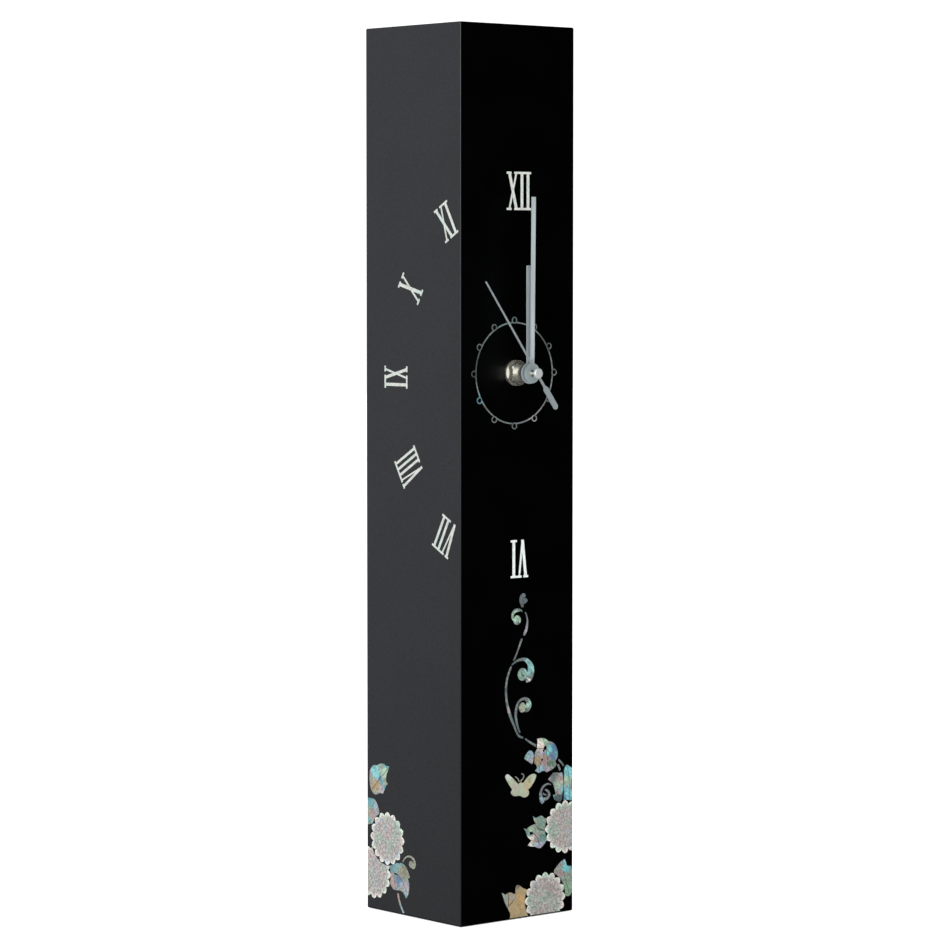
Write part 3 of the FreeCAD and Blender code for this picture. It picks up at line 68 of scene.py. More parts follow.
# ---------------------------------------------------------------- flowers, in metres
# Places are on the case's sides unrolled into one sheet: across from the front's middle, and up.
LOWEST_INLAY = 0.0011
INLAY_THICK = 0.0002
FLOWER_RADIUS = 0.0136
FLOWER_GAP = 0.00015
MIDDLE_FLOWER = (0.032, 0.044)
FOOT_FLOWER = (0.0185, 0.0085)
LEFT_FLOWER = (-0.0955, 0.038)
LEFT_FOOT_FLOWER = (-0.1065, 0.0195)

# Layers of petals are shares of the flower's radius, and the other values shares of a layer.
PETALS = 16
LAYERS = (1.0, 0.76, 0.55, 0.37, 0.22)
PETAL_DIP = 0.14
LAYER_START = 0.9
GROOVE_START = 0.72
STEPS_OUT = 44
STEPS_ROUND = PETALS * 14

# The relief rises towards a petal's tip; painted shade darkens the grooves and the start of a layer,
# where it lies under the layer above.
PETAL_RISE = 0.25
GROOVE_DEPTH = 0.35
GROOVE_SHADE = 0.35
TIP_GLOW = 0.5
INNER_TIP = 0.3
UNDER_SHADE = 0.3

# ---------------------------------------------------------------- light
FLOOR_SIZE = 12.0
FLOOR_GLOW = 0.5
DOME_STRENGTH = 1.2
WALL_DIRECTION = (-1.0, 0.0, 0.0)
WALL_COLOUR = (0.88, 0.90, 0.98, 1.0)
WALL_EDGE = 0.35
WALL_FOOT = -0.29
WALL_FULL = -0.14
CLOCK_MIDDLE = Vector((0, 0, 0.22))


# ================================================================ material helpers
SPOT_WOBBLE = 0.008
SPOT_COVER = 0.85


class Nodes:
    """Nodes of a world or a material, each made in one call."""

    def __init__(self, owner):
        owner.use_nodes = True
        self.tree = owner.node_tree

    def node(self, kind, inputs=None, **settings):
        made = self.tree.nodes.new(kind)
        for key, value in settings.items():
            setattr(made, key, value)
        for key, value in (inputs or {}).items():
            self.give(made.inputs[key], value)
        return made

    def give(self, socket, value):
        """Links an output to a socket, or sets the socket to a plain value."""
        if isinstance(value, bpy.types.NodeSocket):
            self.tree.links.new(value, socket)
        else:
            socket.default_value = value


class Shader(Nodes):
    """A new material with its surface shader, and short calls for the nodes in front of it."""

    def __init__(self, name, roughness=0.5, metallic=0.0):
        self.material = bpy.data.materials.new(name)
        super().__init__(self.material)
        self.surface = self.tree.nodes["Principled BSDF"]
        self.set("Roughness", roughness)
        self.set("Metallic", metallic)
        self.place = self.tree.nodes.new("ShaderNodeTexCoord").outputs["Object"]

    def set(self, socket, value):
        self.surface.inputs[socket].default_value = value

    def feed(self, socket, output):
        self.tree.links.new(output, self.surface.inputs[socket])

    def stretched(self, scale):
        """Object coordinates stretched along an axis."""
        return self.node("ShaderNodeMapping", {"Vector": self.place, "Scale": scale}).outputs[0]

    def noise(self, scale, detail=4.0, distortion=0.0, place=None):
        inputs = {
            "Vector": place or self.place,
            "Scale": scale,
            "Detail": detail,
            "Distortion": distortion,
        }
        return self.node("ShaderNodeTexNoise", inputs)

    def cells(self, scale):
        return self.node("ShaderNodeTexVoronoi", {"Vector": self.place, "Scale": scale})

    def ramp(self, factor, *stops):
        """Colour ramp through (position, colour) stops."""
        made = self.node("ShaderNodeValToRGB", {"Fac": factor})
        elements = made.color_ramp.elements
        while len(elements) < len(stops):
            elements.new(0.5)
        for element, (position, colour) in zip(elements, stops):
            element.position = position
            element.color = (*colour, 1.0)
        return made.outputs["Color"]

    def spread(self, factor, low, high):
        """A number from low to high as a factor goes from 0.3 to 0.7."""
        inputs = {"Value": factor, "From Min": 0.3, "From Max": 0.7, "To Min": low, "To Max": high}
        return self.node("ShaderNodeMapRange", inputs).outputs["Result"]

    def blend(self, factor, first, second, mode="MIX"):
        made = self.node("ShaderNodeMix", data_type="RGBA", blend_type=mode)
        for name, value in (("Factor", factor), ("A", first), ("B", second)):
            socket = next(s for s in made.inputs if s.name == name and s.enabled)
            self.give(socket, value)
        return next(s for s in made.outputs if s.enabled)

    def spots(self, base, centres):
        """Spots of colour (centre, radius, colour) laid over a colour, soft and uneven at the edge."""
        wobble = self.noise(350.0, detail=2.0).outputs["Color"]
        about_zero = self.node(
            "ShaderNodeVectorMath", {0: wobble, 1: (0.5, 0.5, 0.5)}, operation="SUBTRACT"
        ).outputs[0]
        shift = self.node(
            "ShaderNodeVectorMath", {0: about_zero, "Scale": SPOT_WOBBLE}, operation="SCALE"
        ).outputs[0]
        place = self.node("ShaderNodeVectorMath", {0: self.place, 1: shift}, operation="ADD").outputs[0]
        colours = base
        for centre, radius, colour in centres:
            away = self.node("ShaderNodeVectorMath", {0: place, 1: centre}, operation="DISTANCE")
            inputs = {
                "Value": away.outputs["Value"],
                "From Min": 0.5 * radius,
                "From Max": radius,
                "To Min": SPOT_COVER,
                "To Max": 0.0,
            }
            cover = self.node("ShaderNodeMapRange", inputs, interpolation_type="SMOOTHSTEP")
            colours = self.blend(cover.outputs["Result"], colours, (*colour, 1.0))
        return colours

    def bump(self, height, strength, distance):
        inputs = {"Height": height, "Strength": strength, "Distance": distance}
        self.feed("Normal", self.node("ShaderNodeBump", inputs).outputs["Normal"])


def grey(value):
    return (value, value, value)


# ================================================================ materials of the case
def lacquer(name):
    """Nearly black, with gloss in broad clouds."""
    shader = Shader(name)
    clouds = shader.noise(35.0).outputs["Fac"]
    black, nearly_black = (0.0001, 0.0001, 0.0002), (0.0003, 0.0003, 0.0004)
    shader.feed("Base Color", shader.ramp(clouds, (0.3, black), (0.7, nearly_black)))
    shader.feed("Roughness", shader.spread(clouds, 0.36, 0.4))
    return shader


def grained_lacquer():
    shader = lacquer("black_lacquer")
    grain = shader.noise(900.0, detail=3.0).outputs["Fac"]
    shader.feed("Specular IOR Level", shader.spread(grain, 0.44, 0.56))
    return shader.material


def front_shaded_lacquer():
    """The same lacquer for the front, with less reflection so that it shows darker: painted shade."""
    shader = lacquer("front_shaded_lacquer")
    shader.set("Specular IOR Level", 0.22)
    return shader.material


def felt():
    shader = Shader("black_felt", roughness=0.95)
    fibres = shader.noise(1800.0, detail=8.0, distortion=1.5).outputs["Fac"]
    shader.feed("Base Color", shader.ramp(fibres, (0.3, grey(0.006)), (0.7, grey(0.03))))
    shader.set("Sheen Weight", 0.3)
    shader.bump(fibres, 0.8, 0.0002)
    return shader.material


def bare_wood():
    shader = Shader("plain_wood", roughness=0.6)
    grain = shader.noise(90.0, detail=6.0, distortion=1.0, place=shader.stretched((1, 1, 0.08)))
    colours = ((0.3, (0.30, 0.19, 0.10)), (0.55, (0.46, 0.32, 0.18)), (0.7, (0.52, 0.38, 0.23)))
    shader.feed("Base Color", shader.ramp(grain.outputs["Fac"], *colours))
    shader.bump(grain.outputs["Fac"], 0.3, 0.0001)
    return shader.material


# ================================================================ shell
WHITE = (0.52, 0.52, 0.46)
LILAC = (0.27, 0.23, 0.29)
PINK = (0.27, 0.18, 0.17)
GOLD = (0.26, 0.18, 0.08)
OLIVE = (0.15, 0.14, 0.08)
PALE_GREEN = (0.24, 0.36, 0.25)
GREEN = (0.06, 0.14, 0.08)
TEAL = (0.06, 0.22, 0.25)
CYAN = (0.12, 0.38, 0.40)
BLUE = (0.06, 0.12, 0.22)
PALE_BLUE = (0.18, 0.26, 0.30)
GREY = (0.10, 0.11, 0.12)
DARK = (0.04, 0.05, 0.05)

SNOW = (0.58, 0.63, 0.62)
WHITE_PALETTE = ((0.41, 0.48, 0.43), (0.47, 0.49, 0.45), (0.46, 0.45, 0.41))
# A darker copy of the white shell's palette, for the numerals on the left side: painted shade.
SHADED_WHITE_PALETTE = ((0.33, 0.39, 0.36), (0.38, 0.40, 0.37), (0.37, 0.37, 0.34))
LEAF_PALETTE = (TEAL, (0.15, 0.22, 0.19), (0.18, 0.19, 0.13), (0.19, 0.17, 0.20), PALE_BLUE)
THIN_PALETTE = ((0.06, 0.08, 0.09), (0.11, 0.14, 0.13), (0.12, 0.12, 0.13), (0.09, 0.14, 0.14))
TENDRIL_PALETTE = ((0.12, 0.15, 0.12), (0.18, 0.20, 0.13), (0.17, 0.15, 0.14))
GOLD_PALETTE = ((0.24, 0.19, 0.10), (0.30, 0.22, 0.11), (0.25, 0.22, 0.13))
WING_PALETTE = ((0.27, 0.32, 0.24), (0.30, 0.30, 0.21), (0.33, 0.35, 0.28))
PETAL_PALETTE = ((0.20, 0.25, 0.21), (0.24, 0.25, 0.23), (0.27, 0.22, 0.21), (0.22, 0.24, 0.25))


def on_front(u, z):
    """Point of the front inlay, from millimetres right of the middle and above the ground."""
    return (u / 1000, -HALF_WIDTH, z / 1000)


def on_left(back, z):
    """Point of the left inlay, from millimetres behind the middle and above the ground."""
    return (-HALF_WIDTH, back / 1000, z / 1000)


LEAF_SPOTS = (
    (on_front(15.2, 87.6), 0.0044, (0.56, 0.49, 0.44)),
    (on_front(18.6, 89.4), 0.0030, PALE_GREEN),
    (on_front(24.5, 84.5), 0.0050, TEAL),
    (on_front(21.6, 84), 0.0034, CYAN),
    (on_front(25.4, 85.6), 0.0032, BLUE),
    (on_front(22.8, 80.5), 0.0030, BLUE),
    (on_front(15.4, 83), 0.0028, LILAC),
    (on_front(13.6, 79.4), 0.0044, GOLD),
    (on_front(18.2, 79), 0.0040, PINK),
    (on_front(14.5, 75), 0.0036, PALE_BLUE),
    (on_front(22.4, 77.2), 0.0030, GREEN),
    (on_front(19.8, 74.4), 0.0032, LILAC),
    (on_front(8, 83), 0.0036, PALE_BLUE),
    (on_front(9, 79.6), 0.0024, LILAC),
    (on_front(33.8, 72), 0.0056, CYAN),
    (on_front(33.4, 68), 0.0030, PALE_GREEN),
    (on_front(33, 61), 0.0052, CYAN),
    (on_front(31, 60), 0.0030, BLUE),
    (on_front(38.4, 66), 0.0032, GREEN),
    (on_front(25, 71), 0.0050, GREY),
    (on_front(28.6, 69), 0.0034, PINK),
    (on_front(27.2, 65.6), 0.0034, PALE_GREEN),
    (on_front(27, 58.6), 0.0044, DARK),
    (on_front(8.6, 45.8), 0.0030, PALE_GREEN),
    (on_front(8.4, 38.6), 0.0034, WHITE),
    (on_front(12.6, 40), 0.0028, PINK),
    (on_front(14, 36.2), 0.0026, LILAC),
    (on_front(17, 40), 0.0036, (0.08, 0.19, 0.16)),
    (on_front(4.8, 45.4), 0.0030, (0.12, 0.15, 0.11)),
    (on_front(15, 48.5), 0.0042, (0.14, 0.21, 0.17)),
    (on_front(29.6, 20.4), 0.0030, PINK),
    (on_front(32.6, 23.6), 0.0036, CYAN),
    (on_front(34, 12), 0.0056, (0.14, 0.25, 0.16)),
    (on_left(30.5, 70.5), 0.0044, CYAN),
    (on_left(23.2, 72), 0.0038, PALE_GREEN),
    (on_left(26, 68), 0.0026, BLUE),
    (on_left(30, 64), 0.0048, GOLD),
    (on_left(25, 63), 0.0028, LILAC),
    (on_left(34, 55), 0.0042, TEAL),
    (on_left(33, 49), 0.0036, PINK),
    (on_left(15.5, 24), 0.0038, TEAL),
    (on_left(7, 22.5), 0.0044, OLIVE),
    (on_left(11.5, 17), 0.0036, BLUE),
    (on_left(5, 15), 0.0034, LILAC),
    (on_left(6, 11), 0.0026, CYAN),
    (on_left(17, 16), 0.0040, PINK),
)

VINE_SPOTS = (
    (on_front(4, 162), 0.0050, (0.07, 0.09, 0.10)),
    (on_front(-1.5, 153), 0.0050, (0.24, 0.36, 0.27)),
    (on_front(5.2, 147), 0.0034, (0.20, 0.18, 0.22)),
    (on_front(8, 128), 0.0056, (0.17, 0.38, 0.37)),
    (on_front(2.4, 124), 0.0042, (0.15, 0.25, 0.20)),
    (on_front(6.5, 121), 0.0020, WHITE),
    (on_front(-6, 107), 0.0024, (0.30, 0.27, 0.26)),
    (on_front(3, 107.4), 0.0030, (0.30, 0.34, 0.22)),
    (on_front(8, 109), 0.0036, (0.24, 0.40, 0.35)),
    (on_front(15.4, 59), 0.0046, (0.16, 0.22, 0.26)),
)

RING_SPOTS = (
    (on_front(-29, 280), 0.0120, DARK),
    (on_front(20, 297), 0.0110, (0.07, 0.08, 0.07)),
    (on_front(-8, 300), 0.0080, (0.10, 0.17, 0.15)),
    (on_front(-27, 262), 0.0050, (0.08, 0.22, 0.26)),
    (on_front(11, 252), 0.0070, (0.22, 0.20, 0.20)),
    (on_front(24, 270), 0.0060, (0.16, 0.17, 0.17)),
)

NUMERAL_SPOTS = ((on_front(-2, 186), 0.05, SNOW),)

WING_SPOTS = (
    (on_front(-7, 73), 0.0030, (0.40, 0.43, 0.39)),
    (on_front(-4.5, 70.6), 0.0026, (0.25, 0.36, 0.23)),
    (on_front(-2.7, 68), 0.0026, (0.33, 0.27, 0.24)),
    (on_front(6, 67.6), 0.0038, (0.33, 0.28, 0.17)),
    (on_front(7.2, 69.6), 0.0018, (0.24, 0.24, 0.11)),
    (on_front(11, 71.6), 0.0030, (0.30, 0.37, 0.27)),
    (on_front(-0.6, 72.2), 0.0026, GREY),
    (on_front(3.4, 73), 0.0034, GREY),
)

STEM_SPOTS = (
    (on_left(11.5, 8.5), 0.0045, PINK),
    (on_left(8.5, 3), 0.0040, PALE_BLUE),
)

GOLD_SPOTS = (
    (on_front(-9.4, 13), 0.0034, (0.17, 0.23, 0.22)),
    (on_front(-8, 9), 0.0030, (0.17, 0.23, 0.22)),
    (on_front(-6.3, 5.4), 0.0018, (0.22, 0.22, 0.20)),
    (on_front(-4.2, 12), 0.0030, (0.25, 0.24, 0.21)),
    (on_front(0.4, 17.4), 0.0028, (0.08, 0.07, 0.08)),
    (on_front(2, 11), 0.0030, (0.42, 0.24, 0.09)),
    (on_front(2.4, 6.8), 0.0024, (0.36, 0.23, 0.10)),
)


def growth_lines(shader, spacing):
    """Wavy growth lines of the shell, a given distance apart."""
    wave = shader.node(
        "ShaderNodeTexWave",
        {
            "Vector": shader.place,
            "Scale": 0.3 / spacing,
            "Distortion": 9.0,
            "Detail": 3.0,
            "Detail Scale": 1.5,
        },
        bands_direction="DIAGONAL",
    )
    return wave.outputs["Fac"]


def patchwork(shader, palette, patch_size):
    """Colours of a palette in soft patches of about a given size."""
    patches = shader.noise(1 / patch_size, detail=2.0, distortion=0.6).outputs["Fac"]
    first, last = 0.34, 0.66
    apart = (last - first) / (len(palette) - 1)
    stops = [(first + n * apart, colour) for n, colour in enumerate(palette)]
    return shader.ramp(patches, *stops)


def make_pearly(shader, colours, contrast):
    """Growth lines and small facets over the colours, under a clear gloss."""
    lines = growth_lines(shader, 0.0011)
    facets = shader.node(
        "ShaderNodeSeparateColor", {"Color": shader.cells(700.0).outputs["Color"]}
    ).outputs[0]
    darker, lighter = grey(1 - contrast), grey(1 + contrast)
    striped = shader.blend(1.0, colours, shader.ramp(lines, (0.2, darker), (0.8, lighter)), "MULTIPLY")
    faceted = shader.blend(1.0, striped, shader.ramp(facets, (0.1, darker), (0.9, lighter)), "MULTIPLY")
    shader.feed("Base Color", faceted)
    shader.set("Coat Weight", 0.5)
    shader.set("Coat Roughness", 0.1)
    shader.bump(lines, 0.08, 0.00004)


def shell(name, palette, patch_size, contrast=0.2, spots=()):
    shader = Shader(name, roughness=0.4)
    colours = shader.spots(patchwork(shader, palette, patch_size), spots)
    make_pearly(shader, colours, contrast)
    return shader.material


def petal_shell():
    """Pale granular shell, with painted shade in the engraved lines and under each layer, and whiter at
    the tips of the petals.
    """
    shader = Shader("pale_shell", roughness=0.4)
    hues = patchwork(shader, PETAL_PALETTE, 0.008)
    grains = shader.node(
        "ShaderNodeSeparateColor", {"Color": shader.cells(1300.0).outputs["Color"]}
    ).outputs[0]
    sparkle = shader.ramp(grains, (0.05, grey(0.72)), (0.5, grey(1.0)), (0.95, grey(1.3)))
    body = shader.blend(1.0, hues, sparkle, "MULTIPLY")
    lightness = shader.node("ShaderNodeAttribute", attribute_name="lightness").outputs["Fac"]
    # The lightness attribute paints shade into the grooves and under each layer, and whitens the petal
    # tips.
    relief = shader.ramp(lightness, (0.0, grey(0.65)), (0.5, grey(0.97)), (1.0, (2.0, 2.15, 2.05)))
    shader.feed("Base Color", shader.blend(1.0, body, relief, "MULTIPLY"))
    shader.set("Coat Weight", 0.5)
    shader.set("Coat Roughness", 0.1)
    return shader.material


# ================================================================ metals
ALONG_HAND = (1, 1, 0.05)
# A darker patch on the minute hand around the hub: painted shade.
HUB_PAINTED_SHADE = (((HUB_X, -HALF_WIDTH - MINUTE_HAND_OUT, HUB_Z), 0.0085, (0.27, 0.33, 0.33)),)


def worn_metal(name, colour, roughness, metallic=1.0, brushed=(1, 1, 1), spots=()):
    """Metal with fine brushing and small changes of gloss."""
    shader = Shader(name, metallic=metallic)
    lines = shader.noise(900.0, detail=3.0, place=shader.stretched(brushed)).outputs["Fac"]
    darker = tuple(0.85 * part for part in colour)
    streaks = shader.ramp(lines, (0.3, darker), (0.6, colour))
    shader.feed("Base Color", shader.spots(streaks, spots))
    shader.feed("Roughness", shader.spread(lines, roughness * 0.8, roughness * 1.2))
    shader.bump(lines, 0.1, 0.00002)
    return shader.material


def polished_metal(name, colour, roughness, metallic):
    """Smooth metal, a little duller in broad soft clouds."""
    shader = Shader(name, roughness=roughness, metallic=metallic)
    clouds = shader.noise(120.0, detail=1.0).outputs["Fac"]
    duller = tuple(0.92 * part for part in colour)
    shader.feed("Base Color", shader.ramp(clouds, (0.3, duller), (0.7, colour)))
    return shader.material


# ================================================================ plastics and the rest
def moulded(name, colour, roughness, grain=1400.0):
    """Moulded plastic or rubber with a fine spark-eroded grain."""
    shader = Shader(name)
    texture = shader.noise(grain, detail=3.0).outputs["Fac"]
    darker = tuple(0.8 * part for part in colour)
    shader.feed("Base Color", shader.ramp(texture, (0.3, darker), (0.7, colour)))
    shader.feed("Roughness", shader.spread(texture, roughness - 0.08, roughness + 0.08))
    shader.bump(texture, 0.2, 0.00003)
    return shader.material


def copper_winding():
    shader = Shader("copper_wire", roughness=0.3, metallic=0.9)
    turns = shader.node(
        "ShaderNodeTexWave", {"Vector": shader.place, "Scale": 1600.0}, bands_direction="X"
    ).outputs["Fac"]
    # The dark lines between the turns of wire are painted shade.
    shader.feed("Base Color", shader.ramp(turns, (0.1, (0.20, 0.06, 0.02)), (0.7, (0.72, 0.30, 0.12))))
    shader.bump(turns, 0.6, 0.00005)
    return shader.material


def battery_film():
    """Plain glossy sleeve, dark with a copper-coloured end and a little scuffed."""
    shader = Shader("battery_film")
    along = shader.node("ShaderNodeSeparateXYZ", {"Vector": shader.place}).outputs["X"]
    colours = shader.ramp(along, (0.0, (0.03, 0.032, 0.036)), (0.012, (0.42, 0.22, 0.10)))
    scuffs = shader.noise(250.0).outputs["Fac"]
    worn = shader.ramp(scuffs, (0.3, grey(0.8)), (0.7, grey(1.0)))
    shader.feed("Base Color", shader.blend(1.0, colours, worn, "MULTIPLY"))
    shader.feed("Roughness", shader.spread(scuffs, 0.22, 0.34))
    shader.set("Coat Weight", 0.6)
    return shader.material


def circuit_board():
    shader = Shader("green_board", roughness=0.35)
    tracks = shader.cells(420.0).outputs["Distance"]
    shader.feed("Base Color", shader.ramp(tracks, (0.1, (0.02, 0.10, 0.04)), (0.3, (0.03, 0.17, 0.07))))
    shader.bump(tracks, 0.3, 0.00005)
    return shader.material


def node_materials():
    """Material of every CAD node, by the record's material slot."""
    return {
        "black_lacquer": grained_lacquer(),
        "black_felt": felt(),
        "plain_wood": bare_wood(),
        "steel": worn_metal("steel", (0.58, 0.59, 0.61), 0.3),
        "black_plastic": moulded("black_plastic", grey(0.02), 0.5),
        "white_plastic": moulded("white_plastic", (0.60, 0.59, 0.56), 0.4),
        "brass": polished_metal("brass", (0.95, 0.93, 0.82), 0.24, 0.93),
        "black_rubber": moulded("black_rubber", grey(0.015), 0.8),
        "battery_film": battery_film(),
        "green_board": circuit_board(),
        "copper_wire": copper_winding(),
        "ferrite": moulded("ferrite", grey(0.05), 0.6),
        "silver_metal": worn_metal("silver_metal", (0.27, 0.31, 0.32), 0.4, 0.35, ALONG_HAND),
        "white_shell": shell("white_shell", WHITE_PALETTE, 0.006, 0.08),
        "green_shell": shell("green_shell", LEAF_PALETTE, 0.006, 0.16, LEAF_SPOTS),
        "gold_shell": shell("gold_shell", GOLD_PALETTE, 0.005, 0.08, GOLD_SPOTS),
        "pale_shell": petal_shell(),
    }


def special_materials():
    """Materials of single nodes that look unlike the rest of their slot."""
    return {
        # The front panel gets the darker copy of the lacquer: painted shade.
        "front_panel": front_shaded_lacquer(),
        "numerals_front": shell("front_white_shell", WHITE_PALETTE, 0.006, 0.08, NUMERAL_SPOTS),
        # The left numerals get the darker copy of the white shell: painted shade.
        "numerals_left": shell("shaded_white_shell", SHADED_WHITE_PALETTE, 0.006, 0.08),
        # The minute and hour hands get copies of the hands' silver, one lighter and one a step darker,
        # following the light on each: painted light and painted shade.
        "minute_hand": worn_metal(
            "lit_silver_copy", (0.47, 0.53, 0.55), 0.35, 0.35, ALONG_HAND, HUB_PAINTED_SHADE
        ),
        "hour_hand": worn_metal("shaded_silver_copy", (0.36, 0.41, 0.43), 0.4, 0.35, ALONG_HAND),
        "second_hand_cap": polished_metal("polished_silver", (0.68, 0.71, 0.71), 0.3, 0.55),
        "minute_ring": shell("ring_shell", THIN_PALETTE, 0.006, 0.2, RING_SPOTS),
        "tendrils_left": shell("tendril_shell", TENDRIL_PALETTE, 0.006, 0.2, STEM_SPOTS),
        "vine_front": shell("vine_shell", THIN_PALETTE, 0.006, 0.2, VINE_SPOTS),
        "butterfly": shell("wing_shell", WING_PALETTE, 0.005, 0.06, WING_SPOTS),
    }


def paint(nodes, record, by_slot):
    special = special_materials()
    for row in record["subparts"]:
        name = row["node"]
        materials = nodes[name].data.materials
        materials.clear()
        materials.append(special.get(name, by_slot[row["material_slot"]]))


# ================================================================ flowers
def petal_edge(turn, layer):
    """Share of a layer's radius that its scalloped edge reaches, and the place across a petal."""
    shift = 0.5 * ((layer + 1) % 2)
    across = (turn * PETALS + shift) % 1.0 * 2 - 1
    return 1 - PETAL_DIP * abs(across) ** 1.7, across


def relief(radius, turn):
    """(height, lightness) of the flower at a share of its radius and a share of a turn; the lightness
    carries painted shade.
    """
    layer = top_layer(radius, turn)
    edge, across = petal_edge(turn, layer)
    start = LAYER_START * (*LAYERS, 0.0)[layer + 1]
    out = clamped((radius - start) / (LAYERS[layer] * edge - start))
    groove = clamped((abs(across) - GROOVE_START) / (1 - GROOVE_START)) * min(1.0, radius * 4)
    under = max(0.0, 1 - out * 4)
    tip = out**2 * (1.0 if layer == 0 else INNER_TIP)
    height = 1 - PETAL_RISE + PETAL_RISE * out - GROOVE_DEPTH * groove
    return height, clamped(0.5 + TIP_GLOW * tip - GROOVE_SHADE * groove - UNDER_SHADE * under)


def clamped(value):
    return min(1.0, max(0.0, value))


def top_layer(radius, turn):
    """Number of the innermost layer that reaches a place: it lies on top of the others."""
    for layer in reversed(range(1, len(LAYERS))):
        if radius <= LAYERS[layer] * petal_edge(turn, layer)[0]:
            return layer
    return 0


def flower_mesh(name, centre, side, hidden_by=None):
    """Flower with layered, engraved petals, cut off where its side of the case ends."""
    bm = bmesh.new()
    # Lightness of each corner, which carries painted shade for the grooves and under each layer.
    lightness = bm.verts.layers.float.new("lightness")
    rows = []
    for out in range(STEPS_OUT + 1):
        row = []
        for round_step in range(STEPS_ROUND):
            turn = round_step / STEPS_ROUND
            share = (out + 0.5) / (STEPS_OUT + 0.5)
            edge, _ = petal_edge(turn, 0)
            height, light = relief(share, turn)
            radius = FLOWER_RADIUS * share * (1 - (1 - edge) * share**6)
            angle = 2 * math.pi * turn
            u = centre[0] + radius * math.cos(angle)
            z = centre[1] + radius * math.sin(angle)
            vert = bm.verts.new((u, -INLAY_THICK * height, z))
            vert[lightness] = light
            row.append(vert)
        rows.append(row)
    for inner, outer in zip(rows, rows[1:]):
        for n in range(STEPS_ROUND):
            after = (n + 1) % STEPS_ROUND
            bm.faces.new((inner[n], outer[n], outer[after], inner[after]))
    bm.faces.new(rows[0])
    cut_to_side(bm, side)
    if hidden_by:
        remove_under(bm, hidden_by)
    close_down(bm)
    bend_to_side(bm, side)
    return new_piece(name, bm)


def cut_to_side(bm, side):
    """Keeps what lies on one side of the case, drawn on the unrolled sheet."""
    middle = 2 * HALF_WIDTH * side
    reach = HALF_WIDTH - EDGE_ROUND
    cuts = (
        ((middle - reach, 0, 0), (-1, 0, 0)),
        ((middle + reach, 0, 0), (1, 0, 0)),
        ((0, 0, LOWEST_INLAY), (0, 0, -1)),
    )
    for place, outwards in cuts:
        everything = bm.verts[:] + bm.edges[:] + bm.faces[:]
        bmesh.ops.bisect_plane(
            bm, geom=everything, plane_co=place, plane_no=outwards, clear_outer=True
        )


def remove_under(bm, centre):
    """Takes away what another flower covers."""
    radius = FLOWER_RADIUS + FLOWER_GAP
    covered = [
        vert for vert in bm.verts if math.hypot(vert.co.x - centre[0], vert.co.z - centre[1]) < radius
    ]
    bmesh.ops.delete(bm, geom=covered, context="VERTS")


def close_down(bm):
    """Closes the relief down to the face it lies on."""
    rims = [edge for edge in bm.edges if edge.is_boundary]
    made = bmesh.ops.extrude_edge_only(bm, edges=rims)["geom"]
    for vert in made:
        if isinstance(vert, bmesh.types.BMVert):
            vert.co.y = 0.0
    floor_edges = [edge for edge in made if isinstance(edge, bmesh.types.BMEdge) and edge.is_boundary]
    bmesh.ops.contextual_create(bm, geom=floor_edges)


def bend_to_side(bm, side):
    """Moves a drawing from the unrolled sheet to its side of the case."""
    along = Matrix.Translation((-2 * HALF_WIDTH * side, -HALF_WIDTH, 0))
    turn = Matrix.Rotation(math.radians(90 * side), 4, "Z")
    bmesh.ops.transform(bm, matrix=turn @ along, verts=bm.verts)


def new_piece(name, bm):
    bmesh.ops.recalc_face_normals(bm, faces=bm.faces)
    mesh = bpy.data.meshes.new(name)
    bm.to_mesh(mesh)
    bm.free()
    piece = bpy.data.objects.new(name, mesh)
    bpy.context.scene.collection.objects.link(piece)
    return piece


def flowers(material):
    pieces = (
        (flower_mesh("flower_middle_front", MIDDLE_FLOWER, 0), "flowers_front"),
        (flower_mesh("flower_foot_front", FOOT_FLOWER, 0), "flowers_front"),
        (flower_mesh("flower_middle_right", MIDDLE_FLOWER, 1), "flowers_right"),
        (flower_mesh("flower_left", LEFT_FLOWER, -1), "flowers_left"),
        (flower_mesh("flower_foot_left", LEFT_FOOT_FLOWER, -1, LEFT_FLOWER), "flowers_left"),
        (flower_mesh("flower_foot_back", LEFT_FOOT_FLOWER, -2, LEFT_FLOWER), "flowers_back"),
    )
    for piece, node in pieces:
        piece.data.materials.append(material)
        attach(piece, "case")
        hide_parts(node)


# ================================================================ stage, lights and camera
def floor():
    """Pale table, lit a little from below like a light table."""
    mesh = bpy.data.meshes.new("floor")
    half = FLOOR_SIZE / 2
    corners = [(-half, -half, 0), (half, -half, 0), (half, half, 0), (-half, half, 0)]
    mesh.from_pydata(corners, [], [(0, 1, 2, 3)])
    piece = bpy.data.objects.new("floor", mesh)
    bpy.context.scene.collection.objects.link(piece)
    shader = Shader("pale_floor", roughness=0.9)
    clouds = shader.noise(3.0).outputs["Fac"]
    shader.feed("Base Color", shader.ramp(clouds, (0.3, grey(0.9)), (0.7, grey(0.92))))
    shader.set("Specular IOR Level", 0.0)
    shader.set("Emission Color", (1, 1, 1, 1))
    shader.set("Emission Strength", FLOOR_GLOW)
    mesh.materials.append(shader.material)
    piece.visible_glossy = False


def soft_light(name, azimuth, elevation, distance, size, power):
    """Square soft box aimed at the middle of the clock."""
    data = bpy.data.lights.new(name, "AREA")
    data.size = size
    data.energy = power
    light = bpy.data.objects.new(name, data)
    bpy.context.scene.collection.objects.link(light)
    around, up = math.radians(azimuth), math.radians(elevation)
    back = Vector((math.sin(around) * math.cos(up), -math.cos(around) * math.cos(up), math.sin(up)))
    light.location = CLOCK_MIDDLE + back * distance
    light.rotation_mode = "QUATERNION"
    light.rotation_quaternion = (-back).to_track_quat("-Z", "Y")


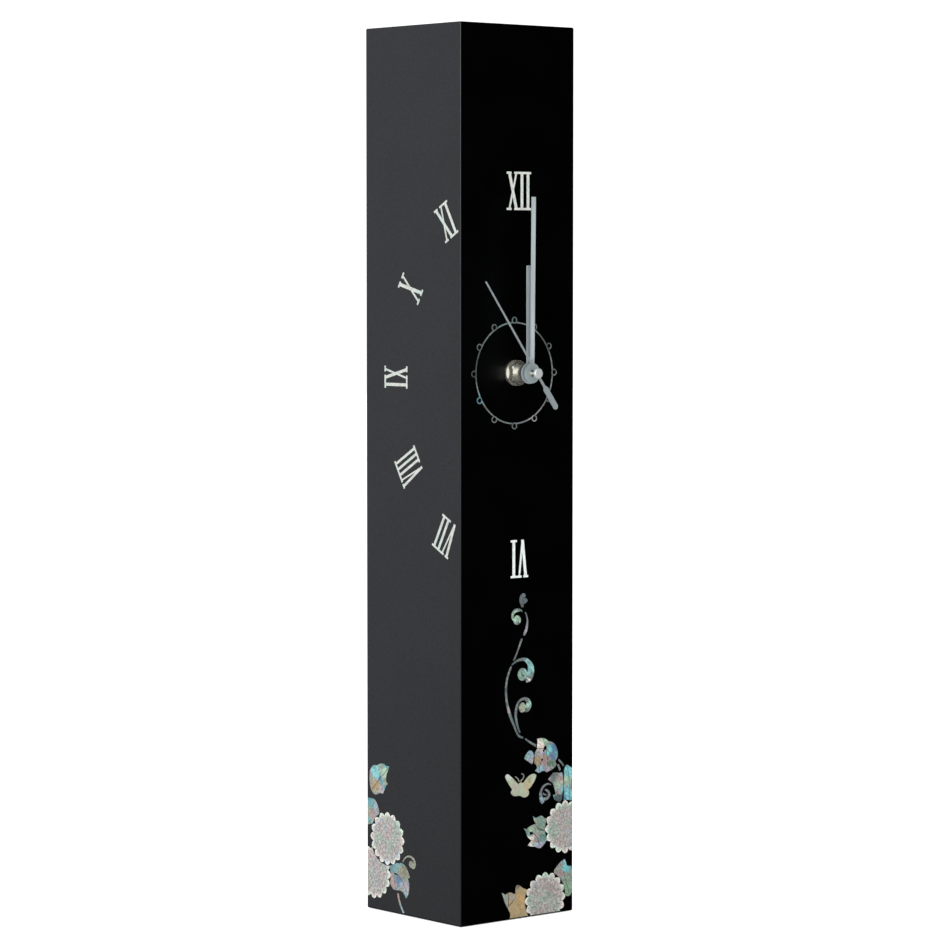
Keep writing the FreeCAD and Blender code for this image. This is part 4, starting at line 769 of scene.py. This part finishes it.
def studio_world():
    """White to the eye, an even dome to matt surfaces, and to gloss one pale wall in the dark."""
    world = bpy.data.worlds.new("studio")
    bpy.context.scene.world = world
    # Only rays that leave a surface meet the world, so that gloss and matt keep their own skies.
    world.cycles.sampling_method = "NONE"
    sky = Nodes(world)
    sky.tree.nodes.clear()
    is_gloss = sky.node("ShaderNodeLightPath").outputs["Is Glossy Ray"]
    dome = sky.node("ShaderNodeBackground", {"Strength": DOME_STRENGTH, "Color": (1, 1, 1, 1)})
    wall = sky.node("ShaderNodeBackground", {"Strength": wall_shade(sky), "Color": WALL_COLOUR})
    mix = sky.node("ShaderNodeMixShader", {0: is_gloss, 1: dome.outputs[0], 2: wall.outputs[0]})
    sky.node("ShaderNodeOutputWorld", {"Surface": mix.outputs[0]})


def wall_shade(sky):
    """Full in the wall's direction, dark away from it, and fading towards the floor."""
    towards = sky.node("ShaderNodeTexCoord").outputs["Generated"]
    facing = sky.node(
        "ShaderNodeVectorMath", {0: towards, 1: WALL_DIRECTION}, operation="DOT_PRODUCT"
    ).outputs["Value"]
    in_view = sky.node(
        "ShaderNodeMapRange",
        {"Value": facing, "From Min": 0.0, "From Max": WALL_EDGE},
        interpolation_type="SMOOTHSTEP",
    ).outputs["Result"]
    height = sky.node("ShaderNodeSeparateXYZ", {0: towards}).outputs["Z"]
    inputs = {
        "Value": height,
        "From Min": WALL_FOOT,
        "From Max": WALL_FULL,
        "To Min": 0.1,
        "To Max": 1.0,
    }
    above_floor = sky.node("ShaderNodeMapRange", inputs).outputs["Result"]
    return sky.node("ShaderNodeMath", {0: in_view, 1: above_floor}, operation="MULTIPLY").outputs[0]


def camera():
    data = bpy.data.cameras.new("camera")
    data.lens = LENS_MM
    data.sensor_width = SENSOR_MM
    data.clip_end = 50
    eye = bpy.data.objects.new("camera", data)
    bpy.context.scene.collection.objects.link(eye)
    around = math.radians(CAMERA_AZIMUTH)
    eye.location = (
        CAMERA_DISTANCE * math.sin(around),
        -CAMERA_DISTANCE * math.cos(around),
        CAMERA_HEIGHT,
    )
    eye.rotation_euler = (
        math.radians(90 - CAMERA_PITCH),
        0,
        math.radians(CAMERA_AZIMUTH + CAMERA_YAW),
    )
    bpy.context.scene.camera = eye


def main():
    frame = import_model()
    by_slot = node_materials()
    paint(frame["nodes"], frame["record"], by_slot)
    flowers(by_slot["pale_shell"])
    floor()
    studio_world()
    soft_light("key", azimuth=-65, elevation=14, distance=1.4, size=0.5, power=8)
    camera()
    bpy.context.scene.view_settings.view_transform = "Standard"


main()
